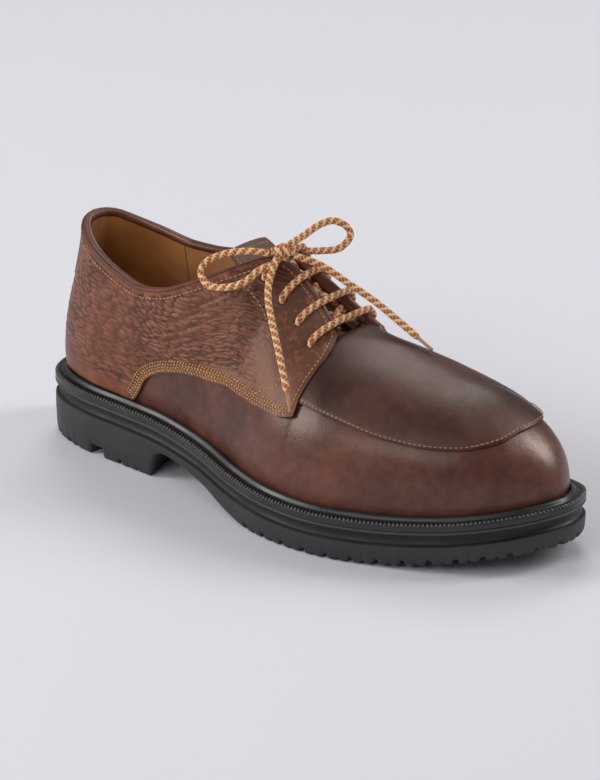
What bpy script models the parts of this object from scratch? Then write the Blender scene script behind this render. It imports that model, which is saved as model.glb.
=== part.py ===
"""Right derby shoe with an apron front and a lug sole.

Lengths are in metres. Working x runs forward from the back of the heel, y is toward the
inner (medial) side of the foot and z is up from the floor. Every finished piece is moved so
that the origin lies under the middle of the shoe.
"""
import bmesh
import bpy
import numpy as np
from mathutils import Matrix

# Driving sizes
LENGTH = 0.300            # sole, heel to toe
GAP = 0.0003              # clearance between neighbouring pieces
OVERLAY_GAP = 0.00056     # clearance under leather laid on the upper, both being curved
WALL = 0.0020             # leather and lining of the upper
OVERLAY = 0.0013          # leather laid on the upper
COLLAR_ROLL = 0.0017      # how far the rolled collar edge stands out of the wall
FEATHER_INSET = 0.0085    # the upper meets the sole this far inside the sole's edge
FLARE = 0.20              # lean of the upper where it leaves the sole
WELT_THICK = 0.0037
MIDSOLE_THICK = 0.0066
MIDSOLE_LIP = 0.0016      # the part of the midsole edge that is flush with the welt
MIDSOLE_RECESS = 0.0016
INSOLE_THICK = 0.0028
LACE_RADIUS = 0.0017
EYELET_RADIUS = 0.0026

# Sole edge in plan: x from the heel, reach to the outer and to the inner side
SOLE_PLAN = [
    # x, lateral, medial
    (0.005, 0.0178, 0.0178),
    (0.016, 0.0275, 0.0275),
    (0.036, 0.0340, 0.0340),
    (0.062, 0.0360, 0.0355),
    (0.092, 0.0380, 0.0345),
    (0.120, 0.0430, 0.0335),
    (0.147, 0.0515, 0.0370),
    (0.176, 0.0575, 0.0440),
    (0.204, 0.0570, 0.0490),
    (0.231, 0.0490, 0.0510),
    (0.255, 0.0385, 0.0495),
    (0.276, 0.0255, 0.0440),
    (0.292, 0.0085, 0.0335),
]
HEEL_TIP = (0.0, 0.0)
TOE_TIP = (LENGTH, 0.0135)

# Height of the welt's top along the foot
WELT_TOP = [
    # x, z
    (0.000, 0.0320),
    (0.040, 0.0316),
    (0.080, 0.0308),
    (0.108, 0.0284),
    (0.137, 0.0248),
    (0.166, 0.0222),
    (0.196, 0.0215),
    (0.225, 0.0219),
    (0.257, 0.0243),
    (0.300, 0.0315),
]

# Underside of the outsole: heel, breast, waist, tread and toe spring
UNDERSIDE = [
    # x, z
    (0.000, 0.0012),
    (0.006, 0.0000),
    (0.0835, 0.0000),
    (0.0885, 0.0125),
    (0.094, 0.0142),
    (0.106, 0.0128),
    (0.126, 0.0085),
    (0.146, 0.0032),
    (0.160, 0.0004),
    (0.168, 0.0000),
    (0.215, 0.0000),
    (0.236, 0.0012),
    (0.260, 0.0042),
    (0.280, 0.0078),
    (0.300, 0.0118),
]
BREAST_HOLLOW = 0.009     # the heel's front face curves back this far at its middle
HEEL_HALF_WIDTH = 0.036
HEEL_NOTCH_X = (0.0425, 0.0520)
HEEL_NOTCH_DEPTH = 0.0048
LUG_PITCH = 0.0125        # lugs along the edge of the tread and of the heel
LUG_CHANNEL = 0.0028      # width of the channel between two lugs
LUG_DEPTH = 0.0022
LUG_REACH = 0.0110        # how far a channel runs in from the edge
LUG_ZONES = [(-0.001, 0.036), (0.058, 0.075), (0.158, 0.301)]

# Sections of the upper, each at a share u of the way from heel to toe round the sole. The top
# of a section is on the collar, then on the throat's edge, then on the ridge of the vamp.
UPPER = [
    # u, top_x, y_lat, y_med, z_lat, z_med, low_up, belly, shoulder, high_down
    (0.000, 0.0160, 0.0000, 0.0000, 0.1090, 0.1090, 0.030, 0.002, 0.00, 0.030),
    (0.050, 0.0195, -0.0090, 0.0090, 0.1070, 0.1078, 0.030, 0.002, 0.00, 0.030),
    (0.100, 0.0290, -0.0165, 0.0165, 0.1025, 0.1030, 0.029, 0.003, 0.00, 0.028),
    (0.150, 0.0430, -0.0225, 0.0220, 0.0980, 0.0984, 0.027, 0.004, 0.00, 0.026),
    (0.200, 0.0570, -0.0255, 0.0240, 0.0938, 0.0965, 0.025, 0.004, 0.00, 0.024),
    (0.250, 0.0710, -0.0275, 0.0230, 0.0916, 0.0975, 0.024, 0.004, 0.00, 0.024),
    (0.300, 0.0850, -0.0283, 0.0205, 0.0938, 0.1002, 0.024, 0.005, 0.05, 0.024),
    (0.350, 0.1010, -0.0260, 0.0170, 0.1002, 0.1044, 0.025, 0.006, 0.25, 0.023),
    (0.400, 0.1200, -0.0180, 0.0120, 0.1095, 0.1102, 0.027, 0.005, 0.42, 0.018),
    (0.440, 0.1360, -0.0065, 0.0065, 0.1155, 0.1150, 0.029, 0.002, 0.50, 0.011),
    (0.480, 0.1470, -0.0005, 0.0080, 0.1080, 0.1080, 0.031, 0.000, 0.51, 0.008),
    (0.520, 0.1595, -0.0010, 0.0120, 0.0975, 0.0985, 0.033, 0.000, 0.58, 0.006),
    (0.560, 0.1720, -0.0020, 0.0150, 0.0870, 0.0895, 0.035, 0.000, 0.64, 0.005),
    (0.575, 0.1775, 0.0020, 0.0130, 0.0858, 0.0870, 0.036, 0.000, 0.64, 0.004),
    (0.585, 0.1815, 0.0080, 0.0080, 0.0858, 0.0858, 0.037, 0.000, 0.64, 0.003),
    (0.650, 0.1930, 0.0090, 0.0090, 0.0840, 0.0840, 0.039, 0.000, 0.66, 0.003),
    (0.750, 0.2120, 0.0095, 0.0095, 0.0804, 0.0804, 0.040, 0.000, 0.72, 0.004),
    (0.850, 0.2280, 0.0100, 0.0100, 0.0768, 0.0768, 0.036, 0.000, 0.74, 0.005),
    (0.930, 0.2380, 0.0105, 0.0105, 0.0744, 0.0744, 0.029, 0.000, 0.66, 0.005),
    (1.000, 0.2430, 0.0110, 0.0110, 0.0732, 0.0732, 0.024, 0.000, 0.55, 0.004),
]
UPPER_COLUMNS = ("u", "x", "y_lat", "y_med", "z_lat", "z_med", "low_up", "belly", "shoulder", "high_down")
THROAT_U = (0.440, 0.585)     # the sections that end on the throat's edge

# Where the leather pieces end on the upper's surface, as shares u and v
QUARTER_LOW = [
    # u, v
    (0.000, 0.090),
    (0.226, 0.090),
    (0.239, 0.150),
    (0.261, 0.298),
    (0.285, 0.372),
    (0.314, 0.422),
    (0.347, 0.430),
    (0.376, 0.409),
    (0.426, 0.355),
    (0.484, 0.355),
    (0.547, 0.400),
    (0.584, 0.414),
]
QUARTER_TOP = [
    # u, v: under the collar's roll, along the facing, round its front corner
    (0.000, 0.938),
    (0.440, 0.938),
    (0.456, 0.990),
    (0.552, 0.990),
    (0.563, 0.967),
    (0.571, 0.922),
    (0.578, 0.845),
    (0.584, 0.720),
]
APRON_SEAM = [
    # u, v_lat, v_med
    (0.586, 0.482, 0.482),
    (0.654, 0.454, 0.462),
    (0.722, 0.412, 0.440),
    (0.796, 0.388, 0.425),
    (0.860, 0.391, 0.430),
    (0.905, 0.422, 0.455),
    (0.955, 0.490, 0.505),
    (0.985, 0.525, 0.530),
    (1.000, 0.532, 0.532),
]
QUARTER_BACK_U = 0.006
QUARTER_FRONT_U = 0.584
APRON_BACK_U = 0.588
BACK_TAB_U = 0.030
BACK_TAB_V = (0.60, 0.945)
EYELETS = [
    # u, v, from the lowest
    (0.555, 0.814),
    (0.524, 0.818),
    (0.488, 0.812),
    (0.449, 0.842),
]
CROSS_STEP = 0.006            # crossed runs start this much past an eyelet
TONGUE_LIFT = 0.0030          # turns the top part up, away from the collar
TONGUE_SIDE_V = 0.78
TONGUE_MIDDLE_V = 0.92
TONGUE_DROP = 0.0049          # room under the facings for the crossed lace
TONGUE_SINK = 1.6             # how much of that room is taken straight down
TONGUE_THICK = 0.0020
TONGUE_U = (0.640, 0.445)     # from under the vamp to the top of the facings
TONGUE_EXTRA = 0.0230         # how far it stands out above the facings

# Leather, rubber and lace colours (linear red, green, blue), roughness
LOOKS = {
    "outsole": (0.017, 0.017, 0.019, 0.70),
    "midsole": (0.012, 0.012, 0.013, 0.75),
    "welt": (0.014, 0.014, 0.015, 0.50),
    "insole": (0.260, 0.120, 0.035, 0.75),
    "upper": (0.085, 0.028, 0.020, 0.45),
    "apron": (0.078, 0.026, 0.019, 0.42),
    "quarter": (0.130, 0.045, 0.028, 0.55),
    "tongue": (0.075, 0.026, 0.018, 0.60),
    "lace": (0.600, 0.240, 0.090, 0.85),
}

for old in list(bpy.data.objects):
    bpy.data.objects.remove(old, do_unlink=True)


def hermite(rows, column, at):
    """One column of a table as a smooth curve of the table's first column, with no overshoot."""
    table = np.asarray(rows, float)
    xs = table[:, 0]
    ys = table[:, column]
    at = np.asarray(at, float)
    step = np.diff(xs)
    slope = np.diff(ys) / step
    lean = np.zeros(len(xs))
    lean[0] = slope[0]
    lean[-1] = slope[-1]
    for k in range(1, len(xs) - 1):
        if slope[k - 1] * slope[k] > 0:
            before = 2 * step[k] + step[k - 1]
            after = step[k] + 2 * step[k - 1]
            lean[k] = (before + after) / (before / slope[k - 1] + after / slope[k])
    i = np.clip(np.searchsorted(xs, at, side="right") - 1, 0, len(step) - 1)
    t = np.clip((at - xs[i]) / step[i], 0, 1)
    start = (1 + 2 * t) * (1 - t) ** 2 * ys[i] + t * (1 - t) ** 2 * step[i] * lean[i]
    end = t * t * (3 - 2 * t) * ys[i + 1] + t * t * (t - 1) * step[i] * lean[i + 1]
    return start + end


def smooth_curve(points, per, closed):
    """Centripetal Catmull-Rom curve through the points, with a number of steps between two."""
    p = np.asarray(points, float)
    if closed:
        p = np.vstack([p[-1:], p, p[:2]])
    else:
        p = np.vstack([2 * p[:1] - p[1:2], p, 2 * p[-1:] - p[-2:-1]])
    out = []
    for k in range(1, len(p) - 2):
        p0, p1, p2, p3 = p[k - 1:k + 3]
        t1 = np.linalg.norm(p1 - p0) ** 0.5
        t2 = t1 + np.linalg.norm(p2 - p1) ** 0.5
        t3 = t2 + np.linalg.norm(p3 - p2) ** 0.5
        for t in np.linspace(t1, t2, per, endpoint=False):
            a1 = (t1 - t) / t1 * p0 + t / t1 * p1
            a2 = (t2 - t) / (t2 - t1) * p1 + (t - t1) / (t2 - t1) * p2
            a3 = (t3 - t) / (t3 - t2) * p2 + (t - t2) / (t3 - t2) * p3
            b1 = (t2 - t) / t2 * a1 + t / t2 * a2
            b2 = (t3 - t) / (t3 - t1) * a2 + (t - t1) / (t3 - t1) * a3
            out.append((t2 - t) / (t2 - t1) * b1 + (t - t1) / (t2 - t1) * b2)
    if not closed:
        out.append(p[-2])
    return np.array(out)


# Sole edge, lateral side from heel to toe and then medial side back to the heel
PER_ROW = 24
lateral_rows = [(x, -lateral) for x, lateral, medial in SOLE_PLAN]
medial_rows = [(x, medial) for x, lateral, medial in reversed(SOLE_PLAN)]
EDGE = smooth_curve([HEEL_TIP] + lateral_rows + [TOE_TIP] + medial_rows, PER_ROW, True)
TOE_INDEX = (len(SOLE_PLAN) + 1) * PER_ROW
along = np.roll(EDGE, -1, 0) - np.roll(EDGE, 1, 0)
along /= np.linalg.norm(along, axis=1)[:, None]
OUTWARD = np.stack([along[:, 1], -along[:, 0]], 1)
MIDDLE = np.array([LENGTH / 2, (EDGE[:, 1].max() + EDGE[:, 1].min()) / 2, 0.0])


def side_of_edge(side, values):
    """The lateral (-1) or medial (+1) half of a list kept along the edge, heel to toe."""
    if side < 0:
        return values[:TOE_INDEX + 1]
    return np.concatenate([values[TOE_INDEX:], values[:1]])[::-1]


def feather(side, u):
    """Point where the upper meets the sole at a share u of the way to the toe, and its normal."""
    points = side_of_edge(side, EDGE - OUTWARD * FEATHER_INSET)
    normals = side_of_edge(side, OUTWARD)
    share = np.concatenate([[0], np.cumsum(np.linalg.norm(np.diff(points, axis=0), axis=1))])
    share /= share[-1]
    point = np.array([np.interp(u, share, points[:, k]) for k in range(2)])
    normal = np.array([np.interp(u, share, normals[:, k]) for k in range(2)])
    return point, normal / np.linalg.norm(normal)


def welt_top(x):
    return hermite(WELT_TOP, 1, x)


def section(side, u, v):
    """Point of the upper's outer face: u round the shoe, v from the sole (0) to the top (1)."""
    row = {name: float(hermite(UPPER, k, u)) for k, name in enumerate(UPPER_COLUMNS) if k}
    base, normal = feather(side, u)
    start = np.array([base[0], base[1], float(welt_top(base[0])) - WELT_THICK])
    ends = ("y_lat", "z_lat") if side < 0 or u >= THROAT_U[1] else ("y_med", "z_med")
    top = np.array([row["x"], row[ends[0]], row[ends[1]]])
    out = np.array([normal[0], normal[1], 0.0])
    up = np.array([0.0, 0.0, 1.0])
    low = start + (out * FLARE + up) * row["low_up"]
    reach = max(float((start - top) @ out), 0.0)
    high = top + out * (row["belly"] + row["shoulder"] * reach) - up * row["high_down"]
    w = 1 - v
    return w ** 3 * start + 3 * w * w * v * low + 3 * w * v * v * high + v ** 3 * top


def surface(side, u, v):
    """Point of the upper and its outward normal."""
    step = 0.002
    u0, u1 = max(u - step, 0.0), min(u + step, 1.0)
    v0, v1 = max(v - step, 0.0), min(v + step, 1.0)
    du = section(side, u1, v) - section(side, u0, v)
    dv = section(side, u, v1) - section(side, u, v0)
    normal = np.cross(du, dv) if side < 0 else np.cross(dv, du)
    size = np.linalg.norm(normal)
    if size < 0.25 * np.linalg.norm(du) * np.linalg.norm(dv):
        return section(side, u, v), surface(side, u, v - 10 * step)[1]
    return section(side, u, v), normal / size


def look(name):
    """The Principled material of a piece."""
    material = bpy.data.materials.get(name)
    if material is None:
        material = bpy.data.materials.new(name)
        material.use_nodes = True
        red, green, blue, rough = LOOKS[name]
        shader = material.node_tree.nodes["Principled BSDF"]
        shader.inputs["Base Color"].default_value = (red, green, blue, 1.0)
        shader.inputs["Roughness"].default_value = rough
        shader.inputs["Metallic"].default_value = 0.0
    return material


def make_piece(name, points, faces, material, angle=40.0):
    """A closed mesh object with outward faces, moved to the shoe's own origin."""
    mesh = bpy.data.meshes.new(name)
    mesh.from_pydata([tuple(p) for p in np.asarray(points) - MIDDLE], [], faces)
    work = bmesh.new()
    work.from_mesh(mesh)
    bmesh.ops.remove_doubles(work, verts=work.verts, dist=0.00002)
    bmesh.ops.recalc_face_normals(work, faces=work.faces)
    work.to_mesh(mesh)
    work.free()
    mesh.shade_smooth()
    mesh.set_sharp_from_angle(angle=np.radians(angle))
    piece = bpy.data.objects.new(name, mesh)
    bpy.context.collection.objects.link(piece)
    mesh.materials.append(look(material))
    return piece


def shell(name, places, quads, inner, outer, material):
    """A leather piece on the upper: its places (side, u, v) thickened between two offsets."""
    found = [surface(*place) for place in places]
    keys = {}
    index = []
    points = []
    normals = []
    levels = []
    for (point, normal), level in zip(found, np.broadcast_to(outer, len(places))):
        key = tuple(np.round(point * 1e6).astype(int))
        if key not in keys:
            keys[key] = len(points)
            points.append(point)
            normals.append(np.zeros(3))
            levels.append(level)
        normals[keys[key]] += normal
        index.append(keys[key])
    normals = np.array([n / np.linalg.norm(n) for n in normals])
    points = np.array(points)
    faces = []
    for quad in quads:
        corners = list(dict.fromkeys(index[k] for k in quad))
        if len(corners) > 2:
            faces.append(corners)
    return thicken(name, points, normals, faces, inner, np.array(levels), material)


def thicken(name, points, normals, faces, inner, outer, material):
    """Close a sheet into a solid between two offsets along its normals."""
    count = len(points)
    outside = points + normals * np.broadcast_to(outer, count)[:, None]
    inside = points + normals * np.broadcast_to(inner, count)[:, None]
    used = {}
    for face in faces:
        for a, b in zip(face, face[1:] + face[:1]):
            used[(a, b)] = used.get((a, b), 0) + 1
    walls = [[a, b, b + count, a + count] for a, b in used if (b, a) not in used]
    backs = [[k + count for k in reversed(face)] for face in faces]
    solid = [list(face) for face in faces] + backs + [list(reversed(wall)) for wall in walls]
    return make_piece(name, np.vstack([outside, inside]), solid, material)


def grid_quads(columns, rows, flip):
    """Quads of a grid kept column by column."""
    quads = []
    for i in range(columns - 1):
        for j in range(rows - 1):
            a = i * rows + j
            quad = [a, a + rows, a + rows + 1, a + 1]
            quads.append(quad[::-1] if flip else quad)
    return quads


# Sole rings: the same stations on both sides, so that a row runs straight across the foot
STATIONS = [0.0012, 0.005, 0.011, 0.019, 0.030, 0.0425, 0.052, 0.064, 0.076, 0.0835, 0.0865, 0.0895,
            0.094, 0.102, 0.114, 0.126, 0.140, 0.154, 0.168, 0.182, 0.198, 0.215, 0.230, 0.245,
            0.258, 0.269, 0.279, 0.2875, 0.294, 0.2982]


def ring(inset):
    """Edge points moved in by an inset: heel tip, lateral stations, toe tip, medial stations."""
    moved = EDGE - OUTWARD * inset
    out = [moved[0]]
    for side in (-1, 1):
        base = side_of_edge(side, EDGE)
        line = side_of_edge(side, moved)
        row = [np.array([np.interp(x, base[:, 0], line[:, k]) for k in range(2)]) for x in STATIONS]
        out += row if side < 0 else [moved[TOE_INDEX]] + row[::-1]
    return np.array(out)


RING = 2 * len(STATIONS) + 2


def ring_pair(i):
    """Ring indices of the lateral and the medial point of station i, the tips included."""
    return i, (RING - i) % RING


def level(inset, height):
    """A ring at a height worked out from each point's x."""
    points = ring(inset)
    return np.column_stack([points, height(points)])


def sleeve(lower, upper):
    """Quads between two rings, given by their first indices."""
    quads = []
    for k in range(RING):
        n = (k + 1) % RING
        quads.append([lower + k, lower + n, upper + n, upper + k])
    return quads


def cap(first, flip):
    """Quads straight across a ring."""
    faces = []
    for i in range(len(STATIONS) + 1):
        a, d = ring_pair(i)
        b, c = ring_pair(i + 1)
        face = list(dict.fromkeys([first + a, first + b, first + c, first + d]))
        faces.append(face[::-1] if flip else face)
    return faces


def below_welt(depth):
    """A height function: so far under the top of the welt."""
    return lambda points: welt_top(points[:, 0]) - depth


def underside(x, y):
    """Height of the outsole's underside, with the heel's front hollowed in plan."""
    hollow = BREAST_HOLLOW * np.clip(1 - (y / HEEL_HALF_WIDTH) ** 2, 0, 1)
    fade = np.clip((x - 0.055) / 0.015, 0, 1) * np.clip((0.135 - x) / 0.03, 0, 1)
    return hermite(UNDERSIDE, 1, x + hollow * fade)


# Outsole: one moulded piece with forefoot, waist and heel
outsole_top = WELT_THICK + MIDSOLE_THICK + 2 * GAP
edge_floor = ring(0.0026)
floor_z = underside(edge_floor[:, 0], edge_floor[:, 1])
rim = ring(0.0002)
rim_top = welt_top(rim[:, 0]) - outsole_top - 0.0008
stack = [level(0.0016, below_welt(outsole_top)), np.column_stack([rim, rim_top])]
stack.append(np.column_stack([ring(0.0006), rim_top + (floor_z - rim_top) * 0.85]))
stack.append(np.column_stack([edge_floor, floor_z]))
points = np.vstack(stack)
faces = cap(0, True)
for k in range(len(stack) - 1):
    faces += sleeve((k + 1) * RING, k * RING)
ACROSS = 5
floor_rows = []
last = (len(stack) - 1) * RING
extra = []
for i in range(len(STATIONS) + 2):
    a, d = ring_pair(i)
    row = [last + a]
    if a != d and i <= len(STATIONS):
        for t in np.linspace(0, 1, ACROSS)[1:-1]:
            spot = edge_floor[a] + (edge_floor[d] - edge_floor[a]) * t
            row.append(len(points) + len(extra))
            extra.append([spot[0], spot[1], float(underside(spot[0], spot[1]))])
        row.append(last + d)
    floor_rows.append(row)
points = np.vstack([points, extra])
for one, two in zip(floor_rows, floor_rows[1:]):
    for k in range(ACROSS - 1):
        corners = [one[min(k, len(one) - 1)], one[min(k + 1, len(one) - 1)],
                   two[min(k + 1, len(two) - 1)], two[min(k, len(two) - 1)]]
        faces.append(list(dict.fromkeys(corners)))
outsole = make_piece("outsole", points, faces, "outsole", 30.0)


def cut(piece, cutter):
    """Take a cutter out of a piece."""
    cutter.hide_render = True
    cutter.display_type = "WIRE"
    change = piece.modifiers.new(cutter.name, "BOOLEAN")
    change.operation = "DIFFERENCE"
    change.solver = "EXACT"
    change.object = cutter


bpy.ops.mesh.primitive_cube_add(size=1.0)
notch = bpy.context.object
notch.name = "heel_notch"
notch.dimensions = (HEEL_NOTCH_X[1] - HEEL_NOTCH_X[0], 0.2, 2 * HEEL_NOTCH_DEPTH)
notch.location = (sum(HEEL_NOTCH_X) / 2 - MIDDLE[0], 0.0, 0.0)
cut(outsole, notch)

# Lugs: short channels cut in from the edge, side by side along it
work = bmesh.new()
run = np.concatenate([[0], np.cumsum(np.linalg.norm(np.diff(EDGE, axis=0), axis=1))])
lug_count = int(run[-1] / LUG_PITCH)
for at in (np.arange(lug_count) + 0.5) * run[-1] / lug_count:
    k = int(np.searchsorted(run, at))
    if any(low < EDGE[k][0] < high for low, high in LUG_ZONES):
        middle = EDGE[k] - OUTWARD[k] * LUG_REACH * 0.35
        place = (*(middle - MIDDLE[:2]), float(underside(*middle)))
        turn = Matrix.Rotation(np.arctan2(OUTWARD[k][1], OUTWARD[k][0]), 4, "Z")
        grow = Matrix.Diagonal((1.3 * LUG_REACH, LUG_CHANNEL, 2 * LUG_DEPTH, 1.0))
        bmesh.ops.create_cube(work, size=1.0, matrix=Matrix.Translation(place) @ turn @ grow)
channel_mesh = bpy.data.meshes.new("lug_channels")
work.to_mesh(channel_mesh)
work.free()
channels = bpy.data.objects.new("lug_channels", channel_mesh)
bpy.context.collection.objects.link(channels)
cut(outsole, channels)

# Midsole: a lip flush with the welt over a recessed band
midsole_top = WELT_THICK + GAP
midsole_levels = [
    # inset, depth under the welt's top
    (0.0000, midsole_top),
    (0.0000, midsole_top + MIDSOLE_LIP),
    (MIDSOLE_RECESS, midsole_top + MIDSOLE_LIP + 0.0005),
    (MIDSOLE_RECESS, midsole_top + MIDSOLE_THICK),
]
points = np.vstack([level(inset, below_welt(depth)) for inset, depth in midsole_levels])
faces = cap(0, True) + cap((len(midsole_levels) - 1) * RING, False)
for k in range(len(midsole_levels) - 1):
    faces += sleeve((k + 1) * RING, k * RING)
make_piece("midsole", points, faces, "midsole", 30.0)

# Welt: a strip round the upper with a rounded edge and a bead against the leather
welt_profile = [
    # inset, height over the welt's top
    (0.0000, -WELT_THICK),
    (0.0000, -0.0007),
    (0.0008, 0.0000),
    (0.0046, 0.0000),
    (0.0053, 0.0013),
    (0.0062, 0.0018),
    (0.0069, 0.0013),
    (0.0079, -WELT_THICK),
]
points = np.vstack([level(inset, below_welt(-height)) for inset, height in welt_profile])
faces = []
for k in range(len(welt_profile)):
    faces += sleeve(k * RING, (k + 1) % len(welt_profile) * RING)
make_piece("welt", points, faces, "welt", 50.0)

# Insole: a board inside the upper
insole_inset = FEATHER_INSET + WALL + 0.0008
insole_levels = [(insole_inset - 0.0003, WELT_THICK - INSOLE_THICK), (insole_inset, WELT_THICK)]
points = np.vstack([level(inset, below_welt(depth)) for inset, depth in insole_levels])
make_piece("insole", points, cap(0, True) + cap(RING, False) + sleeve(RING, 0), "insole", 30.0)

# Upper: both sides in one hollow wall, joined at the heel, the vamp's ridge and the toe
VAMP_U = [0.62, 0.66, 0.70, 0.745, 0.79, 0.83, 0.87, 0.905, 0.94, 0.97, 1.0]
UPPER_U = [0.0, 0.03, 0.06, 0.09, 0.125, 0.16, 0.20, 0.24, 0.28, 0.32, 0.36, 0.40, 0.425, THROAT_U[0], 0.47,
           0.50, 0.53, 0.552, 0.563, 0.571, 0.578, THROAT_U[1]] + VAMP_U
UPPER_V = [0.0, 0.11, 0.23, 0.35, 0.47, 0.59, 0.71, 0.83, 0.945, 0.957, 0.985, 1.0]


def collar_roll(u, v):
    """How far the rolled edge stands out at a place of the upper."""
    fade = float(np.interp(u, [0.0, 0.425, THROAT_U[0]], [1.0, 1.0, 0.0]))
    return fade * COLLAR_ROLL * float(np.interp(v, [0.0, 0.945, 0.957, 0.985, 1.0], [0, 0, 0.9, 1.0, 0.35]))


places = []
quads = []
for side in (-1, 1):
    first = len(places)
    places += [(side, u, v) for u in UPPER_U for v in UPPER_V]
    side_quads = grid_quads(len(UPPER_U), len(UPPER_V), side > 0)
    quads += [[first + k for k in quad] for quad in side_quads]
rolls = np.array([collar_roll(u, v) for side, u, v in places])
upper = shell("upper", places, quads, -WALL, rolls, "upper")

# Quarters: the grained leather from the heel to the facings, over the vamp's wings
QUARTER_U = [QUARTER_BACK_U, 0.03, 0.06, 0.09, 0.125, 0.16, 0.20, 0.228, 0.2335, 0.240, 0.250, 0.262, 0.28,
             0.30, 0.32, 0.36, 0.40, 0.425, THROAT_U[0], 0.456, 0.47, 0.50, 0.53, 0.552,
             0.563, 0.571, 0.578, QUARTER_FRONT_U]
QUARTER_ROWS = 8
eyelets = {}
for side, name in ((-1, "quarter_lateral"), (1, "quarter_medial")):
    places = []
    for u in QUARTER_U:
        low = float(hermite(QUARTER_LOW, 1, u))
        high = float(hermite(QUARTER_TOP, 1, u))
        places += [(side, u, low + (high - low) * t) for t in np.linspace(0, 1, QUARTER_ROWS)]
    quads = grid_quads(len(QUARTER_U), QUARTER_ROWS, side > 0)
    quarter = shell(name, places, quads, OVERLAY_GAP, OVERLAY_GAP + OVERLAY, "quarter")
    eyelets[side] = [surface(side, u, v) for u, v in EYELETS]
    parts = []
    for k, (spot, normal) in enumerate(eyelets[side]):
        bpy.ops.mesh.primitive_cylinder_add(vertices=10, radius=EYELET_RADIUS, depth=0.010)
        pin = bpy.context.object
        pin.rotation_mode = "QUATERNION"
        tilt = np.arccos(np.clip(normal[2], -1, 1))
        axis = np.cross((0.0, 0.0, 1.0), normal)
        axis /= np.linalg.norm(axis)
        pin.rotation_quaternion = (np.cos(tilt / 2), *(axis * np.sin(tilt / 2)))
        pin.location = spot - MIDDLE
        parts.append(pin)
    bpy.ops.object.select_all(action="DESELECT")
    for pin in parts:
        pin.select_set(True)
    bpy.context.view_layer.objects.active = parts[0]
    bpy.ops.object.join()
    parts[0].name = name + "_eyelets"
    cut(quarter, parts[0])
    cut(upper, parts[0])

# Apron: the raised top of the vamp
APRON_U = [APRON_BACK_U] + VAMP_U
APRON_ROWS = 7
places = []
quads = []
for side in (-1, 1):
    first = len(places)
    for u in APRON_U:
        low = float(hermite(APRON_SEAM, 1 if side < 0 else 2, u))
        places += [(side, u, low + (1 - low) * t) for t in np.linspace(0, 1, APRON_ROWS)]
    quads += [[first + k for k in quad] for quad in grid_quads(len(APRON_U), APRON_ROWS, side > 0)]
shell("apron", places, quads, OVERLAY_GAP, OVERLAY_GAP + OVERLAY, "apron")

# Back tab: a narrow strip over the quarters' back seam
places = []
quads = []
tab_rows = np.linspace(BACK_TAB_V[0], BACK_TAB_V[1], 5)
for side in (-1, 1):
    first = len(places)
    places += [(side, u, v) for u in (0.0, BACK_TAB_U / 2, BACK_TAB_U) for v in tab_rows]
    quads += [[first + k for k in quad] for quad in grid_quads(3, len(tab_rows), side > 0)]
tab_inner = 2 * OVERLAY_GAP + OVERLAY
shell("back_tab", places, quads, tab_inner, tab_inner + 0.0010, "quarter")

# Tongue: follows the facings from under the vamp and stands out at the top
TONGUE_ROWS = 10
SIDE_POINTS = 3
tongue_points = []


def tongue_row(u):
    """A row of the tongue across the throat, under the wall of the upper."""
    halves = []
    for side in (-1, 1):
        half = []
        for v in np.linspace(TONGUE_SIDE_V, TONGUE_MIDDLE_V, SIDE_POINTS):
            point, normal = surface(side, u, v)
            inward = -normal - TONGUE_SINK * np.array([0.0, 0.0, 1.0])
            inward /= np.linalg.norm(inward)
            half.append(point + inward * (WALL + TONGUE_DROP))
        halves.append(half)
    row = np.array(halves[0] + halves[1][::-1])
    for turn in range(2):
        row[1:-1] = (row[:-2] + 2 * row[1:-1] + row[2:]) / 4
    walked = np.cumsum(np.linalg.norm(np.diff(row, axis=0, prepend=row[:1]), axis=1))
    stations = np.linspace(0.0, walked[-1], 2 * SIDE_POINTS + 1)
    return np.stack([np.interp(stations, walked, row[:, k]) for k in range(3)], 1)


for u in np.linspace(TONGUE_U[0], TONGUE_U[1], TONGUE_ROWS):
    tongue_points.append(tongue_row(u))
rise = tongue_points[-1].mean(0) - tongue_points[-3].mean(0) + np.array([0.0, 0.0, TONGUE_LIFT])
rise /= np.linalg.norm(rise)
for share, narrow in ((0.4, 0.96), (0.75, 0.88), (1.0, 0.70)):
    row = tongue_points[TONGUE_ROWS - 1]
    centre = row[len(row) // 2]
    tongue_points.append(centre + (row - centre) * narrow + rise * TONGUE_EXTRA * share)
tongue_points = np.array(tongue_points)
down_foot = np.gradient(tongue_points, axis=0)
across_foot = np.gradient(tongue_points, axis=1)
tongue_normals = np.cross(across_foot, down_foot).reshape(-1, 3)
tongue_normals /= np.linalg.norm(tongue_normals, axis=1)[:, None]
if tongue_normals[:, 2].mean() < 0:
    tongue_normals = -tongue_normals
wide = tongue_points.shape[1]
quads = grid_quads(len(tongue_points), wide, False)
thicken("tongue", tongue_points.reshape(-1, 3), tongue_normals, quads, -TONGUE_THICK, 0.0, "tongue")


def tube(name, route, radius, sides=6):
    """A closed round tube along a route, kept free of twist."""
    route = np.asarray(route)
    lines = np.gradient(route, axis=0)
    lines /= np.linalg.norm(lines, axis=1)[:, None]
    across = np.cross(lines[0], (0.0, 0.0, 1.0))
    points = []
    for spot, line in zip(route, lines):
        across = across - line * across.dot(line)
        across /= np.linalg.norm(across)
        other = np.cross(line, across)
        for a in np.arange(sides) * 2 * np.pi / sides:
            points.append(spot + radius * (np.cos(a) * across + np.sin(a) * other))
    faces = [list(range(sides))[::-1], [len(points) - sides + k for k in range(sides)]]
    for i in range(len(route) - 1):
        for k in range(sides):
            n = (k + 1) % sides
            faces.append([i * sides + k, i * sides + n, (i + 1) * sides + n, (i + 1) * sides + k])
    return make_piece(name, points, faces, "lace", 60.0)


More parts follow.
